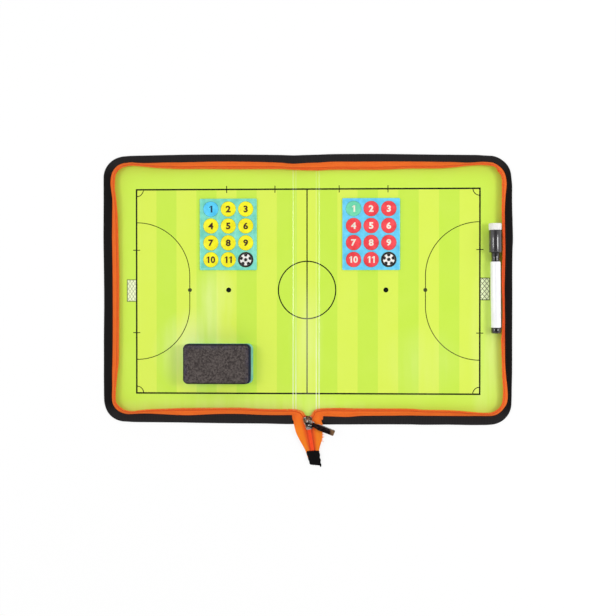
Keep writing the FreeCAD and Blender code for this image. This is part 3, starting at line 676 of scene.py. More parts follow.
def buildBinding():
    ribbon, thread = ribbonFinish(), threadFinish()
    b = bindingShape
    stations = caseWalk(b["stationStep"])
    profile = [(*spot, True) for spot in b["outer"]] + [(*spot, False) for spot in b["inner"]]
    ring = profile + profile[:1]
    girth = [0]
    for here, there in zip(ring, ring[1:]):
        girth.append(girth[-1] + math.dist(here[:2], there[:2]))
    for side in (-1, 1):
        lies = [edgeLie(side, station[4]) for station in stations]
        def place(i, j):
            inset, z, ribbed = ring[i]
            x, y, outX, outY, run = stations[j]
            outer, inner, _ = lies[j]
            inset = outer + inset * ((inner if z > b["middle"] else b["width"]) - outer) / b["width"]
            cut, hollow = b["tailCut"][side]
            if y < 0 and x < cut + hollow * (inset - 4) ** 2:
                z = min(z, b["flapTop"] if ribbed else b["flapUnder"])
            elif ribbed:
                dip = b["ribDepth"] * (0.5 + 0.5 * math.cos(2 * math.pi * run / b["ribPitch"]))
                z += dip * (1 - z / b["middle"]) * (abs(z - b["middle"]) > 1.0)
                inset += dip * (abs(z - b["middle"]) <= 1.0)
            return (side * (x - outX * inset), y - outY * inset, z)
        def flat(i, j):
            return (stations[j][4], girth[i])
        name = sideNames[side]
        binding = laid("edgeBinding_" + name, len(ring) - 1, len(stations) - 1, place, "cloth", flat)
        closeUp(binding)
        dress(smooth(binding, 50), ribbon)
        crossCrease(binding, side, caseShape["stiffFold"])
        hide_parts(name + "_edge_binding", *(["spine_edge_binding"] if side < 0 else []))
        # stitching along the ribbon's inner edge
        clearPick()
        bpy.ops.mesh.primitive_uv_sphere_add(segments=6, ring_count=4, radius=0.5, rotation=(0, math.pi / 2, 0))
        stitch = settle(named("stitch"))
        places, nextRun = [], 1.0
        for (x, y, outX, outY, run), (outer, inner, _) in zip(stations, lies):
            if run < nextRun or (y < 0 and x < b["tailCut"][side][0] + 4):
                continue
            nextRun += b["stitchPitch"]
            inset = inner - b["stitchInset"]
            spot = Vector((side * (x - outX * inset), y - outY * inset, b["stitchZ"])) * mm
            turn = Matrix.Rotation(math.atan2(outY, side * outX) + math.pi / 2, 4, "Z")
            size = Matrix.Diagonal((b["stitchLength"] * mm, b["stitchWidth"] * mm, b["stitchHigh"] * mm, 1))
            places.append(Matrix.Translation(spot) @ turn @ size)
        stitches = strewn("bindingStitches_" + name, stitch, places)
        dress(smooth(closeUp(stitches, 1e-8), 80), thread)
        crossCrease(stitches, side, caseShape["stiffFold"])
    print("edge binding folded round and stitched")


# zip tapes: sewn on the edge, leaning in, and turned together into the free tail
tapeShape = {
    "rootZ": 1.55, "reach": 12.6, "stand": 9.9, "thick": 0.7, "wallEnd": {-1: 17.6, 1: 22.4}, "tailFrom": 24.6,
    "runs": (-5.6, -3.4, -1.4, -0.3, 0.7, 1.8, 3.4, 5.2, 7.0, 8.5, 9.9),
    "coilPitch": 1.5, "coilHalf": 1.12, "coilLift": 0.72, "coilWire": 0.37, "coilOut": 1.3, "coilSteps": 8,
    "ripple": 0.012, "bow": 0.35, "crown": 0.4, "shutFrom": -1.5, "mapStep": 1000,
    "tailTint": (806, 826), "shaded": (1402, 96, 70), "seam": 14.2,  # along the map, in mm
}
tailShape = {
    "origin": (2.9, -174.5, 5.15), "yaw": 9, "pitch": 3.892, "tabEnd": 58.2, "threadReach": 4.2, "tabRib": 0.0017,
    "frayFrom": 9, "frayTo": 27, "frays": 40, "frayWire": (0.32, 0.05),
    "frayLean": (-0.9, 1.5), "frayReach": (1.2, 3.8),
    "frayEdge": ((4.5, 18.1), (16.1, 16.0), (26.2, 13.3), (37.5, 8.4)),  # sewn edge of the right tape, along and across
}
tailMatrix = Matrix.Translation(tailShape["origin"]) @ Matrix.Rotation(math.radians(tailShape["yaw"] - 90), 4, "Z")
tailMatrix = tailMatrix @ Matrix.Rotation(math.radians(tailShape["pitch"]), 4, "Y")


tailAxes = tailMatrix.to_3x3()


def onTail(along, across, up=0.0):
    return tailMatrix @ Vector((along, across, up))


# sewn edge and coil edge where each tape leaves the case, from the crease to the end tab
tapeTurn = {
    -1: [
        ((-16.3, -172.4, 3.2), (-8.7, -159.8, 7.6)),
        ((-15.7, -176.6, 4.2), (-3.4, -164.6, 6.3)),
        (onTail(2.9, -18.5), onTail(-3.2, -3.9)),
        (onTail(10.9, -17.6), onTail(7, -2.75)),
        (onTail(22, -14.2), onTail(19, -2.7)),
        (onTail(34.7, -9.6), onTail(32, -2.7)),
        (onTail(47, -7.6), onTail(46, -2.7)),
    ],
    1: [
        ((19.9, -170.6, 3.2), (13.0, -159.0, 8.0)),
        ((20.6, -174.4, 4.3), (8.9, -164.8, 6.5)),
        (onTail(4.5, 18.1, 0.5), onTail(-3.2, 3.9)),
        (onTail(16.1, 16.0), onTail(10, 2.75)),
        (onTail(26.2, 13.3), onTail(22, 2.7)),
        (onTail(37.5, 8.4), onTail(36, 2.7)),
        (onTail(47, 7.6), onTail(46, 2.7)),
    ],
}


def tapeWall(station, side):  # one crossing of the leaning tape, from its hidden foot to its coil edge
    t = tapeShape
    x, y, outX, outY, run = station
    outer, ribbon, coil = edgeLie(side, run)
    root = ribbon + t["thick"] / 2
    slope = (coil - root) / t["reach"] + t["ripple"] * math.sin(run / 12.4)
    rise = math.sqrt(1 - slope ** 2)
    tuck = min(1, (root - outer - 1.5) / -t["runs"][0])
    points = []
    for along in t["runs"]:
        if along < 0:
            inset, z = root + along * tuck, t["rootZ"] + 0.08 * max(0, 1.4 + along)
        else:
            bow = t["bow"] * math.sin(math.pi * along / t["stand"])
            inset = root + along * slope - bow * rise
            z = t["rootZ"] + along * rise + bow * slope
        points.append(Vector((side * (x - outX * inset), y - outY * inset, z)))
    return points


def tapeRibs(side):
    t = tapeShape
    stations = [s for s in caseWalk(2.0) if s[1] > 0 or s[0] >= t["wallEnd"][side]]
    ribs = [tapeWall(station, side) for station in stations]
    share = [(along - t["runs"][0]) / (t["runs"][-1] - t["runs"][0]) for along in t["runs"]]
    keys = [ribs[-6], ribs[-1]]
    for sewn, free in tapeTurn[side]:
        sewn, free = Vector(sewn), Vector(free)
        crown = Vector((0, 0, t["crown"]))
        keys.append([sewn.lerp(free, f) + crown * math.sin(math.pi * f) for f in share])
    keys.append([2 * a - b for a, b in zip(keys[-1], keys[-2])])
    for k in range(1, len(keys) - 2):
        before, here, there, after = keys[k - 1:k + 3]
        count = max(3, round((there[-1] - here[-1]).length / 1.6))
        for n in range(1, count + 1):
            f = n / count
            ribs.append([
                0.5 * (2 * b + (c - a) * f + (2 * a - 5 * b + 4 * c - d) * f ** 2 + (3 * b - a - 3 * c + d) * f ** 3)
                for a, b, c, d in zip(before, here, there, after)
            ])
    return ribs


def tapeFinish():
    t = tapeShape
    finish = Finish("orangeTape", Specular_IOR_Level=0.2)
    place = finish.mapped("cloth")
    u, v, _ = finish.split(place)
    along, across = u * 1000, v * 1000
    twill = ((along + abs(across % 3.2 - 1.6) * 1.6) * (2 * math.pi / 0.95)).sine()
    fibre = finish.noise(finish.stretched(place, (2600, 700, 1)), 1.0, 2)
    patch = finish.noise(place, 70, 3)
    tone = finish.mixed(finish.ranged(twill, -1, 1), paint(248, 98, 22), paint(255, 126, 40))
    tone = finish.mixed(finish.ranged(fibre, 0.5, 0.8, 0, 0.4), tone, paint(255, 150, 70))
    tone = finish.mixed(finish.ranged(patch, 0.45, 0.8, 0, 0.3), tone, paint(246, 90, 24))
    tail = finish.ranged(along % t["mapStep"], *t["tailTint"])
    middle, far, near = t["shaded"]
    upright = finish.ranged(abs(along - middle), far, near)  # behind the pen it stands in its own shade
    tone = finish.mixed(tail * 0.8, tone, paint(255, 136, 24))
    tone = finish.mixed(tail * finish.ranged(across, 8, 13, 0, 0.85), tone, paint(238, 76, 24))
    tone = finish.mixed(upright * 0.6, tone, paint(214, 62, 26))
    seam = finish.ranged(abs(across - t["seam"]), 0.65, 0.3)  # row of sewing that holds the coil
    tone = finish.mixed(seam * 0.75, tone, paint(190, 60, 18))
    finish.surface(tone, fibre, 0.6, 0.8)
    return finish.bumped(twill * 0.6 + fibre - seam * 2, 0.00012)


def coilFinish():
    finish = Finish("orangeCoil", Specular_IOR_Level=0.3)
    shade = finish.noise(finish.spots(), 160, 3)
    finish.surface(finish.mixed(shade, paint(246, 78, 20), paint(255, 108, 40)), shade, 0.4, 0.55)
    return finish.bumped(finish.noise(finish.spots(), 1900, 1), 0.00006)


def buildZip():
    orangeTape, orangeCoil = tapeFinish(), coilFinish()
    t = tapeShape
    fromTail = tailMatrix.inverted()
    for side in (-1, 1):
        half = sideNames[side]
        ribs = tapeRibs(side)
        runs = [0]
        for here, there in zip(ribs, ribs[1:]):
            middle = len(here) // 2
            runs.append(runs[-1] + (there[middle] - here[middle]).length)
        spots = [fromTail @ rib[-1] for rib in ribs]
        shut = next(k for k, spot in enumerate(spots) if spot.x > t["shutFrom"] and abs(spot.y) < 8)
        split = next(k for k, rib in enumerate(ribs) if rib[0].y < 0 and abs(rib[0].x) < t["tailFrom"])
        onCase = [half + "_zip_tape"] + (["spine_zip_tape"] if side < 0 else [])
        onTape = ["tail_tapes"] if side < 0 else []
        for name, first, last, fold, nodes in (
            ("zipTape_" + half, 0, split, caseShape["tapeFold"], onCase),
            ("zipTail_" + half, split, len(ribs) - 1, caseShape["tailFold"], onTape),
        ):
            def place(i, j):
                return ribs[first + j][i]
            def flat(i, j):
                return (runs[first + j] + (t["mapStep"] if side > 0 else 0), t["runs"][i] - t["runs"][0])
            tape = laid(name, len(t["runs"]) - 1, last - first, place, "cloth", flat)
            closeUp(tape, 1e-7)
            area = sum(face.area for face in tape.data.polygons)
            modify(tape, "SOLIDIFY", thickness=t["thick"] * mm, offset=0)
            dress(smooth(tape, 60), orangeTape)
            crossCrease(tape, side, fold)
            if nodes:
                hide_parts(*nodes)
            width = (t["runs"][-1] - t["runs"][0]) * mm
            length = max((runs[last] - runs[first]) * mm, area / width)
        coil = buildCoil("zipCoil_" + half, ribs[:split + 1], orangeCoil)
        crossCrease(coil, side, caseShape["tapeFold"])
        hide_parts(half + "_zip_coil")
        coil = buildCoil("zipCoilEnd_" + half, ribs[split:shut], orangeCoil)
        crossCrease(coil, side, caseShape["tailFold"])
    print("zip tapes and coils sewn in")


def buildCoil(name, ribs, finish):  # one spiral of wire along the tape's free edge
    t = tapeShape
    edge = [rib[-1] for rib in ribs]
    runs = [0]
    for here, there in zip(edge, edge[1:]):
        runs.append(runs[-1] + (there - here).length)
    frames = []
    for k, rib in enumerate(ribs):
        forward = (edge[min(k + 1, len(edge) - 1)] - edge[max(k - 1, 0)]).normalized()
        outward = rib[-1] - rib[-2]
        outward = (outward - forward * outward.dot(forward)).normalized()
        frames.append((rib[-1] + outward * t["coilOut"], outward, forward.cross(outward)))
    points, k = [], 0
    for n in range(int(runs[-1] / t["coilPitch"]) * t["coilSteps"]):
        run = n * t["coilPitch"] / t["coilSteps"]
        while runs[k + 1] < run:
            k += 1
        f = (run - runs[k]) / (runs[k + 1] - runs[k])
        centre, outward, up = (a.lerp(b, f) for a, b in zip(frames[k], frames[k + 1]))
        turn = 2 * math.pi * n / t["coilSteps"]
        points.append(centre + outward * t["coilHalf"] * math.cos(turn) + up * t["coilLift"] * math.sin(turn))
    line = bpy.data.curves.new(name, "CURVE")
    line.dimensions = "3D"
    spline = line.splines.new("POLY")
    spline.points.add(len(points) - 1)
    for spot, point in zip(spline.points, points):
        spot.co = (*(point * mm), 1)
    line.bevel_depth = t["coilWire"] * mm
    line.bevel_resolution = 0
    line.use_fill_caps = True
    coil = bpy.data.objects.new(name, line)
    bpy.context.scene.collection.objects.link(coil)
    pick(coil)
    bpy.ops.object.convert(target="MESH")
    coil = dress(smooth(closeUp(named(name), 1e-8), 80), finish)
    return coil


# chain of the tail, shut below the slider
chainShape = {
    "start": 3.0, "opens": 19.3, "end": 44.0, "half": 2.75, "top": 0.3, "under": 0.6,
    "toothPitch": 0.78, "tooth": (0.62, 1.3, 0.5), "toothAcross": 0.85, "keep": 0.02,
}


def chainFinish():
    finish = Finish("shutChain", Specular_IOR_Level=0.3)
    place = finish.spots()
    acrossAxis = tailAxes.col[1]
    across = finish.along(place, acrossAxis) - acrossAxis.dot(Vector(tailShape["origin"])) * mm
    shade = finish.noise(place, 300, 3)
    tone = finish.mixed(shade, paint(240, 62, 12), paint(255, 92, 30))
    tone = finish.mixed(finish.ranged(abs(across), 0.0019, 0.0023), tone, paint(214, 62, 18))
    gap = finish.ranged(across, 0.0021, 0.0025)  # shadowed, beside the right tape
    tone = finish.mixed(gap, tone, paint(112, 34, 14))
    finish.surface(tone, shade, 0.42, 0.58)
    return finish.bumped(finish.noise(place, 1700, 2), 0.00006)


def buildChain():
    c = chainShape
    shutChain = chainFinish()
    size = Matrix.Diagonal((mm, mm, mm, 1))
    for name, start, end in (("tailChainHead", c["start"], c["opens"]), ("tailChain", c["opens"], c["end"])):
        low, high = Vector((start, -c["half"], -c["under"])), Vector((end, c["half"], c["top"]))
        core = block(name, low * mm, high * mm)
        rounded(core, 0.25, 2, 40)
        places = []
        for k in range(int((end - start) / c["toothPitch"])):
            across = c["toothAcross"] * (1 if k % 2 else -1)
            spot = Vector((start + (k + 0.5) * c["toothPitch"], across, c["top"])) * mm
            places.append(Matrix.Translation(spot) @ Matrix.Diagonal((*c["tooth"], 1)))
        clearPick()
        bpy.ops.mesh.primitive_uv_sphere_add(segments=8, ring_count=5, radius=mm)
        chain = join(core, strewn("teeth", settle(named("tooth")), places))
        chain.data.transform(size @ tailMatrix @ size.inverted())
        dress(smooth(chain, 50), shutChain)
        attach(chain, "spine")
        if end < c["end"]:  # the slider opens this length, so it keeps a mesh of its own
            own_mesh(chain)
        else:
            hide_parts("tail_chain")
    print("chain shut below the slider")


# slider, pull and the black end tab of the tail
pullShape = {"fall": 21.4, "middle": (0.0029, -0.1743), "tip": (0.0075, 0.0045), "rim": (0.0029, 0.0034)}


def sliderFinish():
    finish = Finish("sliderMetal", Metallic=1.0)
    place = finish.spots()
    cast = finish.noise(place, 300, 3)
    toneAndGlint = finish.noise(place, 250, 3)
    # painted glints: the metal's colour swings between near black and near white in small patches
    tone = finish.mixed(finish.ranged(toneAndGlint, 0.44, 0.56), paint(30, 26, 26), paint(252, 248, 242))
    # painted reflection: gold-orange patches stand for the orange tape mirrored in the metal
    tone = finish.mixed(finish.ranged(finish.noise(place, 190, 2), 0.5, 0.58, 0, 0.7), tone, paint(228, 160, 104))
    finish.surface(tone, cast, 0.08, 0.2)
    return finish.bumped(cast, 0.0003)


def pullFinish():
    p = pullShape
    finish = Finish("pullMetal", Metallic=1.0)
    place = finish.spots()
    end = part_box("zip_pull")[1].x
    x, y, _ = finish.split(place)
    tip = finish.ranged(x, end - p["tip"][0], end - p["tip"][1])
    toneAndGlint = finish.noise(place, 260, 3)
    fall = math.radians(p["fall"])
    across = (x - p["middle"][0]) * math.sin(fall) + (y - p["middle"][1]) * math.cos(fall)
    tone = finish.mixed(finish.ranged(toneAndGlint, 0.35, 0.7), paint(34, 22, 24), paint(72, 58, 56))
    tone = finish.mixed(tip, tone, paint(168, 128, 92))
    tone = finish.mixed(finish.ranged(across, *p["rim"]), tone, paint(236, 232, 226))  # painted highlight along the upper rim
    finish.surface(tone, toneAndGlint, 0.2, 0.38)
    return finish.bumped(finish.noise(place, 900, 2), 0.00005)


def tabFinish():
    finish = Finish("tabRibbon", Specular_IOR_Level=0.06)
    place = finish.spots()
    along = finish.along(place, tailAxes.col[0])
    rib = ((along * (2 * math.pi / tailShape["tabRib"])).sine() + 1) * 0.5
    yarn = finish.noise(place, 1500, 2)
    tone = finish.mixed(rib, paint(3, 3, 4), paint(17, 16, 17))
    tone = finish.mixed(finish.ranged(yarn, 0.5, 0.8, 0, 0.5), tone, paint(30, 29, 30))
    finish.surface(tone, yarn, 0.5, 0.75)
    return finish.bumped(rib + yarn * 0.6, 0.0002)


def buildSlider():
    slider = refined("zip_slider", "zipSlider", 0.42, 4)
    dress(slider, sliderFinish())
    mount(slider, "slider", "zip_slider")
    pull = refined("zip_pull", "zipPull", 0.3, 3)
    dress(pull, pullFinish())
    mount(pull, "pull", "zip_pull")
    tab = refined("tail_end_tab", "tailEndTab", 0.5, 3)
    modify(tab, "REMESH", mode="VOXEL", voxel_size=0.55 * mm)
    modify(tab, "SMOOTH", factor=0.5, iterations=6)
    fromTail = tailMatrix.inverted()
    for vertex in tab.data.vertices:  # a soft fold of ribbon, a little crumpled, with a loose thread at one corner
        along, across, up = fromTail @ (vertex.co / mm)
        corner = ease((across - 3.6) / 4.6) * ease((along - tailShape["tabEnd"] + 6) / 6)
        hem = (0.28 * math.sin(across * 2.1) + 0.2 * math.sin(across * 5.3)) * ease((along - 50) / 8)
        along += tailShape["threadReach"] * corner ** 2 + hem
        along += (0.4 * math.sin(across * 2.7) + 0.3 * math.sin(across * 6.1)) * ease((40 - along) / 4)
        across += 0.35 * math.sin(along * 0.9)
        up += 0.35 * math.sin(along / 4.2 + across / 3.1)
        vertex.co = onTail(along, across, up) * mm
    dress(smooth(tab, 80), tabFinish())
    mount(tab, "spine", "tail_end_tab")
    buildFray()
    print("slider, pull and end tab in place")


def buildFray():  # loose threads along the right tape's cut edge
    t = tailShape
    thick, thin = t["frayWire"]
    hairs = []
    for k in range(t["frays"]):
        root = tapeEdge(t["frayFrom"] + (t["frayTo"] - t["frayFrom"]) * (k + random.random()) / t["frays"])
        lean = random.uniform(*t["frayLean"])
        reach = random.uniform(*t["frayReach"])
        clearPick()
        bpy.ops.mesh.primitive_cone_add(
            vertices=5, radius1=thick * mm, radius2=thin * mm, depth=1, location=(0, 0, 0.5),
        )
        hair = settle(bpy.context.object)
        editAll(hair, lambda: bpy.ops.mesh.subdivide(number_cuts=3))
        for vertex in hair.data.vertices:
            x, y, f = vertex.co
            along = root.x + lean * reach * f * f * 0.5 + x / mm
            up = y / mm + 0.25 * reach * f * (1 - f)
            vertex.co = onTail(along, root.y + reach * f - 0.5, up) * mm
        hairs.append(closeUp(hair, 1e-8))
    fray = join(*hairs)
    fray.name = fray.data.name = "tapeFray"
    dress(smooth(fray, 60), tapeThread())
    crossCrease(fray, 1, caseShape["tailFold"])


def tapeEdge(along):  # where a thread leaves the right tape
    spots = tailShape["frayEdge"]
    for (a, across), (b, further) in zip(spots, spots[1:]):
        if along <= b:
            return Vector((along, across + (further - across) * (along - a) / (b - a)))


def tapeThread():
    finish = Finish("orangeThread", Specular_IOR_Level=0.2)
    strand = finish.noise(finish.spots(), 1800, 2)
    tone = finish.mixed(strand, paint(236, 92, 30), paint(255, 150, 78))
    return finish.surface(tone, strand, 0.6, 0.8)


# magnet sheets and their discs
sheetColours = {
    "left": {
        "sheet": (124, 220, 198), "first": (88, 208, 255), "firstNumber": (2, 60, 92),
        "disc": (255, 244, 32), "number": (70, 36, 8), "slots": ("sky_disc", "yellow_disc"),
    },
    "right": {
        "sheet": (106, 209, 246), "first": (114, 220, 178), "firstNumber": (255, 248, 226),
        "disc": (247, 74, 82), "number": (255, 238, 222), "slots": ("green_disc", "red_disc"),
    },
}
discShape = {
    "numberHeight": 8.8, "bold": 0.042, "bevelShare": 0.7, "wide": 1.1, "lift": 0.03, "gap": 0.3,
    "ballRadius": 7.4, "patch": 2.5, "patchOut": 6.3, "seamHalf": 0.16, "seam": (2.2, 4.4),
    "flags": {"1": (-0.09,), "10": (-0.34,), "11": (-0.34, 0.16)},  # where the stems stand
    "flagLow": (-0.15, 0.45, 0.56), "flagHigh": (0.05, 0.62, 0.724),
}


def vinylFinish(name, colour, gloss=0.3):
    finish = Finish(name, Specular_IOR_Level=0.5, Coat_Weight=0.15, Coat_Roughness=0.15)
    place = finish.spots()
    mottle = finish.noise(place, 130, 3)
    grain = finish.noise(place, 2200, 2)
    deep = tuple(max(0, c - 16) for c in colour)
    pale = tuple(min(255, c + 9) for c in colour)
    finish.give(
        Base_Color=finish.mixed(finish.ranged(mottle, 0.3, 0.7), paint(*deep), paint(*pale)),
        Roughness=finish.ranged(grain, 0.3, 0.7, gloss - 0.06, gloss + 0.08),
    )
    return finish.bumped(grain, 0.00004)


def numberOn(text, place, height):
    clearPick()
    bpy.ops.object.text_add(location=(0, 0, 0))
    number = named("number")
    number.data.body = text.replace("6", "9")  # six is nine turned over
    number.data.offset = (1 - discShape["bevelShare"]) * discShape["bold"]
    number.data.bevel_depth = discShape["bevelShare"] * discShape["bold"]  # bold, with its counters open
    number.data.bevel_resolution = 0
    number.data.align_x = "CENTER"
    bpy.ops.object.convert(target="MESH")
    number = bpy.context.object
    for stem in discShape["flags"].get(text, ()):
        number = join(number, flagOn(stem))
    low = [min(v.co[k] for v in number.data.vertices) for k in range(2)]
    high = [max(v.co[k] for v in number.data.vertices) for k in range(2)]
    size = height * mm / (high[1] - low[1]) * (-1 if text == "6" else 1)
    wide = discShape["wide"] if len(text) == 1 else 1
    for vertex in number.data.vertices:
        vertex.co.x = (vertex.co.x - (low[0] + high[0]) / 2) * size * wide + place.x
        vertex.co.y = (vertex.co.y - (low[1] + high[1]) / 2) * size + place.y
        vertex.co.z = place.z + vertex.co.z / discShape["bold"] * discShape["lift"] * mm
    return closeUp(number, 1e-8)


def flagOn(stem):  # slanting stroke at the head of a one, left of its stem, in the font's own units
    d = discShape
    left, *leftRange = d["flagLow"]
    right, *rightRange = d["flagHigh"]
    thick = d["bevelShare"] * d["bold"]
    flag = block("flag", (stem + left, 0, -thick), (stem + right, 1, thick))
    for vertex in flag.data.vertices:
        low, high = leftRange if vertex.co.x < stem else rightRange
        vertex.co.y = low + (high - low) * vertex.co.y
    return flag


def flatShape(corners, radius, place, turn=0.0):
    clearPick()
    bpy.ops.mesh.primitive_circle_add(
        vertices=corners, radius=radius * mm, fill_type="NGON", location=place, rotation=(0, 0, turn),
    )
    return settle(bpy.context.object)


def ballPrint(place, white, black):  # white ball with dark patches, printed flat
    d = discShape
    ball = dress(flatShape(48, d["ballRadius"], place), white)
    middle = place + Vector((0, 0, d["lift"] * mm))
    half, (near, far) = d["seamHalf"] * mm, d["seam"]
    patches = [flatShape(5, d["patch"], middle, math.radians(36))]
    for k in range(5):
        angle = math.radians(90 + 72 * k)
        way = Vector((math.cos(angle), math.sin(angle), 0))
        patch = flatShape(5, d["patch"] * 1.05, middle + way * d["patchOut"] * mm, angle + math.radians(90 + 36))
        for vertex in patch.data.vertices:
            out = vertex.co - middle
            if out.length > d["ballRadius"] * mm:
                vertex.co = middle + out.normalized() * d["ballRadius"] * mm
        seam = block("seam", (-half, near * mm, 0), (half, far * mm, 0.01 * mm))
        seam.data.transform(Matrix.Translation(middle) @ Matrix.Rotation(angle - math.pi / 2, 4, "Z"))
        patches += [patch, seam]
    for patch in patches:
        dress(patch, black)
    return join(ball, *patches)


def coin(name, radius, depth, middle):
    clearPick()
    bpy.ops.mesh.primitive_cylinder_add(vertices=64, radius=radius, depth=depth, location=middle)
    return settle(named(name))


def buildMagnets():
    ballBlack = vinylFinish("ballBlack", (34, 32, 33))
    ballWhite = vinylFinish("ballWhite", (243, 242, 236))
    for name, colours in sheetColours.items():
        sheetVinyl = vinylFinish(name + "SheetVinyl", colours["sheet"])
        firstVinyl = vinylFinish(name + "FirstDiscVinyl", colours["first"])
        discVinyl = vinylFinish(name + "DiscVinyl", colours["disc"])
        firstInk = vinylFinish(name + "FirstNumberInk", colours["firstNumber"], 0.4)
        ink = vinylFinish(name + "NumberInk", colours["number"], 0.4)
        low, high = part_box(name + "_magnet_sheet")
        sheet = block(name + "MagnetSheet", low, high)
        bevelUpright(sheet, 1.5 * mm, 5)
        nodes = [f"{name}_player_{k}" for k in range(1, 12)] + [name + "_ball"]
        cutters = []
        for k, node in enumerate(nodes):
            discLow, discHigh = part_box(node)
            middle = (discLow + discHigh) / 2
            radius = (discHigh.y - discLow.y) / 2
            cutters.append(coin("cutter", radius + discShape["gap"] * mm, 0.01, middle))
            disc = coin(node + "_disc", radius, discHigh.z - discLow.z, middle)
            rounded(disc, 0.22, 3, 40)
            smooth(disc, 40)
            top = Vector((middle.x, middle.y, discHigh.z + discShape["lift"] * mm))
            if node.endswith("ball"):
                disc = join(dress(disc, ballBlack), ballPrint(top, ballWhite, ballBlack))
            else:
                dress(disc, discVinyl if k else firstVinyl)
                number = numberOn(str(k + 1), top, discShape["numberHeight"])
                disc = join(disc, dress(number, ink if k else firstInk))
            mount(disc, node + "_disc", node)
        cutter = join(*cutters)
        modify(sheet, "BOOLEAN", operation="DIFFERENCE", object=cutter, solver="EXACT")
        bpy.data.objects.remove(cutter)
        rounded(sheet, 0.14, 2, 50)
        dress(smooth(sheet, 35), sheetVinyl)
        mount(sheet, name + "_sheet", name + "_magnet_sheet")
    print("magnet sheets punched, discs numbered")


# board eraser
eraserShape = {
    "foot": 1.6, "topShort": 1.4, "feltShort": 2.5, "foamCorner": 6.5, "feltCorner": 6.0,
    "voxel": 0.8, "tuft": 1.6, "tuftHigh": 0.55,
}


def feltFinish():
    finish = Finish("greyFelt", Specular_IOR_Level=0.15, Sheen_Weight=0.08, Sheen_Roughness=0.5)
    place = finish.spots()
    x, y, _ = finish.split(place)
    low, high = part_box("eraser_felt")
    tufts = finish.noise(place, 420, 4, 0.62)
    fibres = finish.noise(finish.stretched(place, (1, 2.6, 1)), 1900, 3, 0.7)
    stain = finish.noise(place, 90, 3)
    tone = finish.mixed(finish.ranged(tufts, 0.36, 0.64), paint(46, 40, 39), paint(98, 90, 87))
    tone = finish.mixed(finish.ranged(fibres, 0.52, 0.7, 0, 0.4), tone, paint(116, 108, 107))
    rim = (x - low.x) & (high.x - x) & (high.y - y)  # ink dust gathers along three edges
    inked = finish.ranged(rim, 0.008, 0.001) * finish.ranged(stain, 0.35, 0.6)
    tone = finish.mixed(inked * 0.5, tone, paint(62, 58, 92))
    shut = rim & (y - low.y)
    tone = finish.mixed(finish.ranged(shut, 0.0021, 0.0007), tone, paint(20, 18, 20))  # painted shade along all four edges
    finish.surface(tone, tufts, 0.85, 0.97)
    return finish.bumped(tufts + fibres * 0.7, 0.0006)


def foamFinish():
    finish = Finish("blueFoam", Specular_IOR_Level=0.3)
    place = finish.spots()
    cells = finish.node("ShaderNodeTexVoronoi", {"feature": "F1"}, {"Vector": place, "Scale": 1500.0})
    patch = finish.noise(place, 110, 3)
    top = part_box("eraser_foam")[1].z
    height = finish.split(place)[2]
    tone = finish.mixed(finish.ranged(patch, 0.35, 0.7), paint(116, 190, 188), paint(150, 214, 204))
    # painted shade: the foam turns navy just below its top, under the felt
    tone = finish.mixed(finish.ranged(height + patch * 0.003, top - 0.006, top - 0.002), tone, paint(16, 20, 42))
    tone = finish.mixed(finish.ranged(cells, 0.5, 0.9, 0, 0.3), tone, paint(40, 96, 150))
    finish.give(Base_Color=tone, Roughness=finish.ranged(cells, 0.2, 0.8, 0.7, 0.9))
    return finish.bumped(cells, 0.0002)


def buildEraser():
    e = eraserShape
    low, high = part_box("eraser_foam")
    foam = block("eraserFoam", low, high)
    for vertex in foam.data.vertices:  # one end slopes out to its foot
        if vertex.co.x > (low.x + high.x) / 2:
            upper = vertex.co.z > (low.z + high.z) / 2
            vertex.co.x += (-e["topShort"] if upper else e["foot"]) * mm
    bevelUpright(foam, e["foamCorner"] * mm, 8)
    rounded(foam, 0.7, 3, 50)
    dress(smooth(foam, 40), foamFinish())
    mount(foam, "eraser", "eraser_foam")
    low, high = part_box("eraser_felt")
    felt = block("eraserFelt", low, (high.x - e["feltShort"] * mm, high.y, high.z))
    bevelUpright(felt, e["feltCorner"] * mm, 8)
    rounded(felt, 1.1, 3, 50)
    modify(felt, "REMESH", mode="VOXEL", voxel_size=e["voxel"] * mm)
    tufts = bpy.data.textures.new("feltTufts", "CLOUDS")
    tufts.noise_scale = e["tuft"] * mm
    tufts.noise_depth = 2
    modify(felt, "DISPLACE", texture=tufts, texture_coords="LOCAL", strength=e["tuftHigh"] * mm, mid_level=0.75)
    dress(smooth(felt, 80), feltFinish())
    mount(felt, "eraser", "eraser_felt")
    print("eraser made")


# marker pen, measured along its axis from the plug, in mm
markerShape = {
    "foot": (244.8, -57.4, 10.05), "tilt": math.asin(0.01415), "yaw": math.radians(0.74), "sides": 64,
    "plug": ((5.2, 0.0), (5.85, 0.35), (6.25, 1.0), (6.25, 6.6), (6.0, 7.0), (6.0, 7.3)),
    "barrel": ((6.0, 7.3), (6.35, 7.5), (6.5, 8.2), (6.5, 30), (6.5, 60), (6.5, 88), (6.4, 91.3), (6.1, 92.0)),
    "neck": ((5.1, 92.0), (5.2, 92.4), (5.2, 95.2), (4.85, 95.5), (4.85, 96.3), (5.2, 96.6), (5.2, 103.4),
             (4.9, 103.9), (4.0, 104.6), (4.0, 110.2), (3.5, 110.9), (2.4, 111.0)),
    "cap": ((7.0, 132.4), (7.75, 132.2), (8.0, 131.5), (8.0, 118), (8.0, 105.0), (7.85, 104.2), (7.5, 103.8),
            (5.9, 103.8), (5.5, 104.3), (5.5, 118), (5.5, 128.8), (5.0, 129.0)),
    "felt": ((7.3, 132.4), (8.1, 132.6), (8.25, 133.4), (8.25, 137), (8.25, 140.2), (7.9, 140.9), (7.0, 141.3)),
}


def standMarker(piece):
    m = markerShape
    turn = Matrix.Rotation(m["yaw"], 4, "Z") @ Matrix.Rotation(m["tilt"] - math.pi / 2, 4, "X")
    piece.data.transform(Matrix.Translation(Vector(m["foot"]) * mm) @ turn)
    return piece


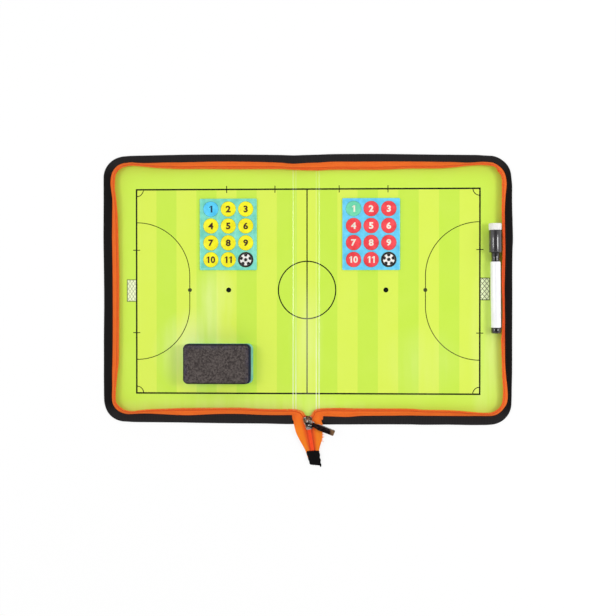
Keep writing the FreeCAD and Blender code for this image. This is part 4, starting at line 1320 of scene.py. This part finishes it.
def plasticFinish(name, deep, pale, rough, speck=0.0):
    finish = Finish(name, Specular_IOR_Level=0.7, Coat_Weight=0.5, Coat_Roughness=0.08)
    place = finish.spots()
    cloud = finish.noise(place, 70, 3)
    scuff = finish.noise(finish.stretched(place, (3, 0.35, 3)), 900, 3)
    tone = finish.mixed(finish.ranged(cloud, 0.3, 0.7), paint(*deep), paint(*pale))
    tone = finish.mixed(finish.ranged(scuff, 0.66, 0.74, 0, speck), tone, paint(150, 148, 146))
    finish.give(Base_Color=tone, Roughness=finish.ranged(scuff, 0.3, 0.7, rough - 0.05, rough + 0.09))
    return finish.bumped(finish.noise(place, 1400, 2), 0.00004)


def woolFinish():
    finish = Finish("whiteFelt", Sheen_Weight=0.3, Sheen_Roughness=0.5)
    place = finish.spots()
    tufts = finish.noise(place, 1100, 4, 0.65)
    tone = finish.mixed(finish.ranged(tufts, 0.3, 0.7), paint(222, 220, 216), paint(250, 249, 246))
    finish.surface(tone, tufts, 0.85, 0.97)
    return finish.bumped(tufts, 0.0005)


def buildMarker():
    m = markerShape
    whitePlastic = plasticFinish("barrelPlastic", (240, 240, 243), (250, 250, 252), 0.24, 0.15)
    darkPlastic = plasticFinish("capPlastic", (24, 21, 24), (44, 40, 44), 0.17, 0.1)
    blackPlastic = plasticFinish("neckPlastic", (2, 2, 3), (8, 7, 8), 0.08, 0.1)
    parts = [
        ("markerBarrel", "barrel", "marker_barrel", "marker", "white_plastic", whitePlastic),
        ("markerNeck", "neck", "marker_nib_holder", "marker", "dark_plastic", blackPlastic),
        ("markerCap", "cap", "marker_cap", "cap", "dark_plastic", darkPlastic),
        ("markerCapFelt", "felt", "marker_cap_felt", "cap", "white_felt", woolFinish()),
        ("markerPlug", "plug", "marker_end_plug", "marker", "dark_plastic", blackPlastic),
    ]
    for name, profile, node, body, slot, finish in parts:
        piece = turned(name, m[profile], m["sides"])
        if profile == "felt":
            tufts = bpy.data.textures.new("woolTufts", "CLOUDS")
            tufts.noise_scale = 1.4 * mm
            modify(piece, "SUBSURF", levels=2, render_levels=2, subdivision_type="SIMPLE")
            modify(piece, "DISPLACE", texture=tufts, texture_coords="LOCAL", strength=0.5 * mm, mid_level=0.8)
        smooth(standMarker(piece), 32)
        dress(piece, finish)
        mount(piece, body, node)
    nib = refined("marker_nib", "markerNib", 0.15, 2)
    dress(nib, feltFinish())
    mount(nib, "marker", "marker_nib")
    print("marker turned")


# inner layers that only the edges and the opened cap show
layerShape = {  # edge beside the crease, from and to, and how far it is set back there, where the film bends in
    "stiffBoard": (15, 18, 2.2), "steelPlate": (16, 17.6, 2.3), "stiffBoard_spine": (12, 15, -2.6),
}


def boardFinish():
    finish = Finish("greyBoard")
    pulp = finish.noise(finish.spots(), 500, 4)
    finish.surface(finish.mixed(pulp, paint(120, 112, 100), paint(158, 150, 136)), pulp, 0.8, 0.95)
    return finish.bumped(pulp, 0.0002)


def steelFinish():
    finish = Finish("tinPlate", Metallic=1.0)
    rolled = finish.noise(finish.stretched(finish.spots(), (1, 30, 1)), 60, 3)
    return finish.surface(finish.mixed(rolled, paint(150, 152, 154), paint(188, 190, 192)), rolled, 0.3, 0.45)


def setBack(node, name, body, finish, shape):
    low, high, back = layerShape[shape]
    layer = refined(node, name, 0.1, 1)
    for vertex in layer.data.vertices:
        if low * mm < abs(vertex.co.x) < high * mm:
            vertex.co.x += back * mm * math.copysign(1, vertex.co.x)
    dress(layer, finish)
    mount(layer, body, node)


def dressInside():
    board, steel = boardFinish(), steelFinish()
    dress(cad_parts["eraser_magnet"], vinylFinish("magnetRubber", (48, 46, 46), 0.6))
    dress(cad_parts["marker_ink_reservoir"], feltFinish())
    for side in ("left", "right"):
        setBack(side + "_stiffener", "stiffBoard_" + side, side + "_half", board, "stiffBoard")
    setBack("spine_stiffener", "stiffBoard_spine", "spine", board, "stiffBoard_spine")
    for side in ("left", "right"):
        setBack(side + "_steel_sheet", "steelPlate_" + side, side + "_half", steel, "steelPlate")
    print("inner layers dressed")


# floor, lamps and camera
stageShape = {
    "aim": (0.0025, -0.02504, 0.003), "distance": 1.30402, "sideTilt": 2.375, "backTilt": 0.454, "view": 34.19,
    "skyLow": 1.02, "skyTop": 0.22, "skyFade": (0.68, 0.93), "lampSize": 0.42, "lampX": 1.15,
    "lamps": {-1: (5.6, 1.36), 1: (7.0, 1.16)},
    "floorGlow": 0.85,
}


def buildStage():
    s = stageShape
    clearPick()
    bpy.ops.mesh.primitive_plane_add(size=8, location=(0, 0, -0.0004))
    floor = settle(named("floor"))
    white = Finish("whiteFloor", Roughness=0.9, Specular_IOR_Level=0.1, Base_Color=(0.97, 0.97, 0.97, 1))
    tree = white.tree
    ray = tree.nodes.new("ShaderNodeLightPath")
    direct, mirrored, through = (
        Flow(white, ray.outputs[f"Is {kind} Ray"]) for kind in ("Camera", "Glossy", "Transmission")
    )
    seen = direct | mirrored | through
    glow = white.node("ShaderNodeEmission", None, {"Color": (1, 1, 1, 1), "Strength": 1.0})
    plain = Flow(white, white.shader.outputs[0])
    blend = white.node("ShaderNodeMixShader", None, {0: seen * s["floorGlow"], 1: plain, 2: glow})
    tree.links.new(blend.socket, tree.nodes["Material Output"].inputs["Surface"])
    dress(floor, white)
    # a studio bright all round and dark overhead, where the camera hangs
    world = bpy.data.worlds.new("studio")
    world.use_nodes = True
    studio = Nodes(world.node_tree)
    rise = studio.split(studio.node("ShaderNodeTexCoord", None, None, "Generated"))[2]
    light = studio.ranged(rise, s["skyFade"][0], s["skyFade"][1], s["skyLow"], s["skyTop"])
    studio.feed(world.node_tree.nodes["Background"].inputs["Strength"], light)
    world.node_tree.nodes["Background"].inputs["Color"].default_value = (1, 1, 1, 1)
    bpy.context.scene.world = world
    for side in (-1, 1):
        clearPick()
        energy, height = s["lamps"][side]
        bpy.ops.object.light_add(type="AREA", location=(side * s["lampX"], 0.1, height))
        lamp = named("softBox_" + sideNames[side])
        lamp.data.energy = energy
        lamp.data.size = s["lampSize"]
        lamp.rotation_euler = (Vector((0, 0, 0)) - lamp.location).to_track_quat("-Z", "Y").to_euler()
    clearPick()
    bpy.ops.object.camera_add()
    camera = named("photoCamera")
    camera.rotation_euler = (-math.radians(s["backTilt"]), math.radians(s["sideTilt"]), 0)
    camera.location = Vector(s["aim"]) + camera.rotation_euler.to_matrix() @ Vector((0, 0, s["distance"]))
    camera.data.angle = math.radians(s["view"])
    camera.data.clip_end = 30
    bpy.context.scene.camera = camera
    print("stage lit")


buildFilm()
buildCover()
buildBinding()
buildZip()
buildChain()
buildSlider()
buildMagnets()
buildEraser()
buildMarker()
dressInside()
buildStage()

print("board finished")
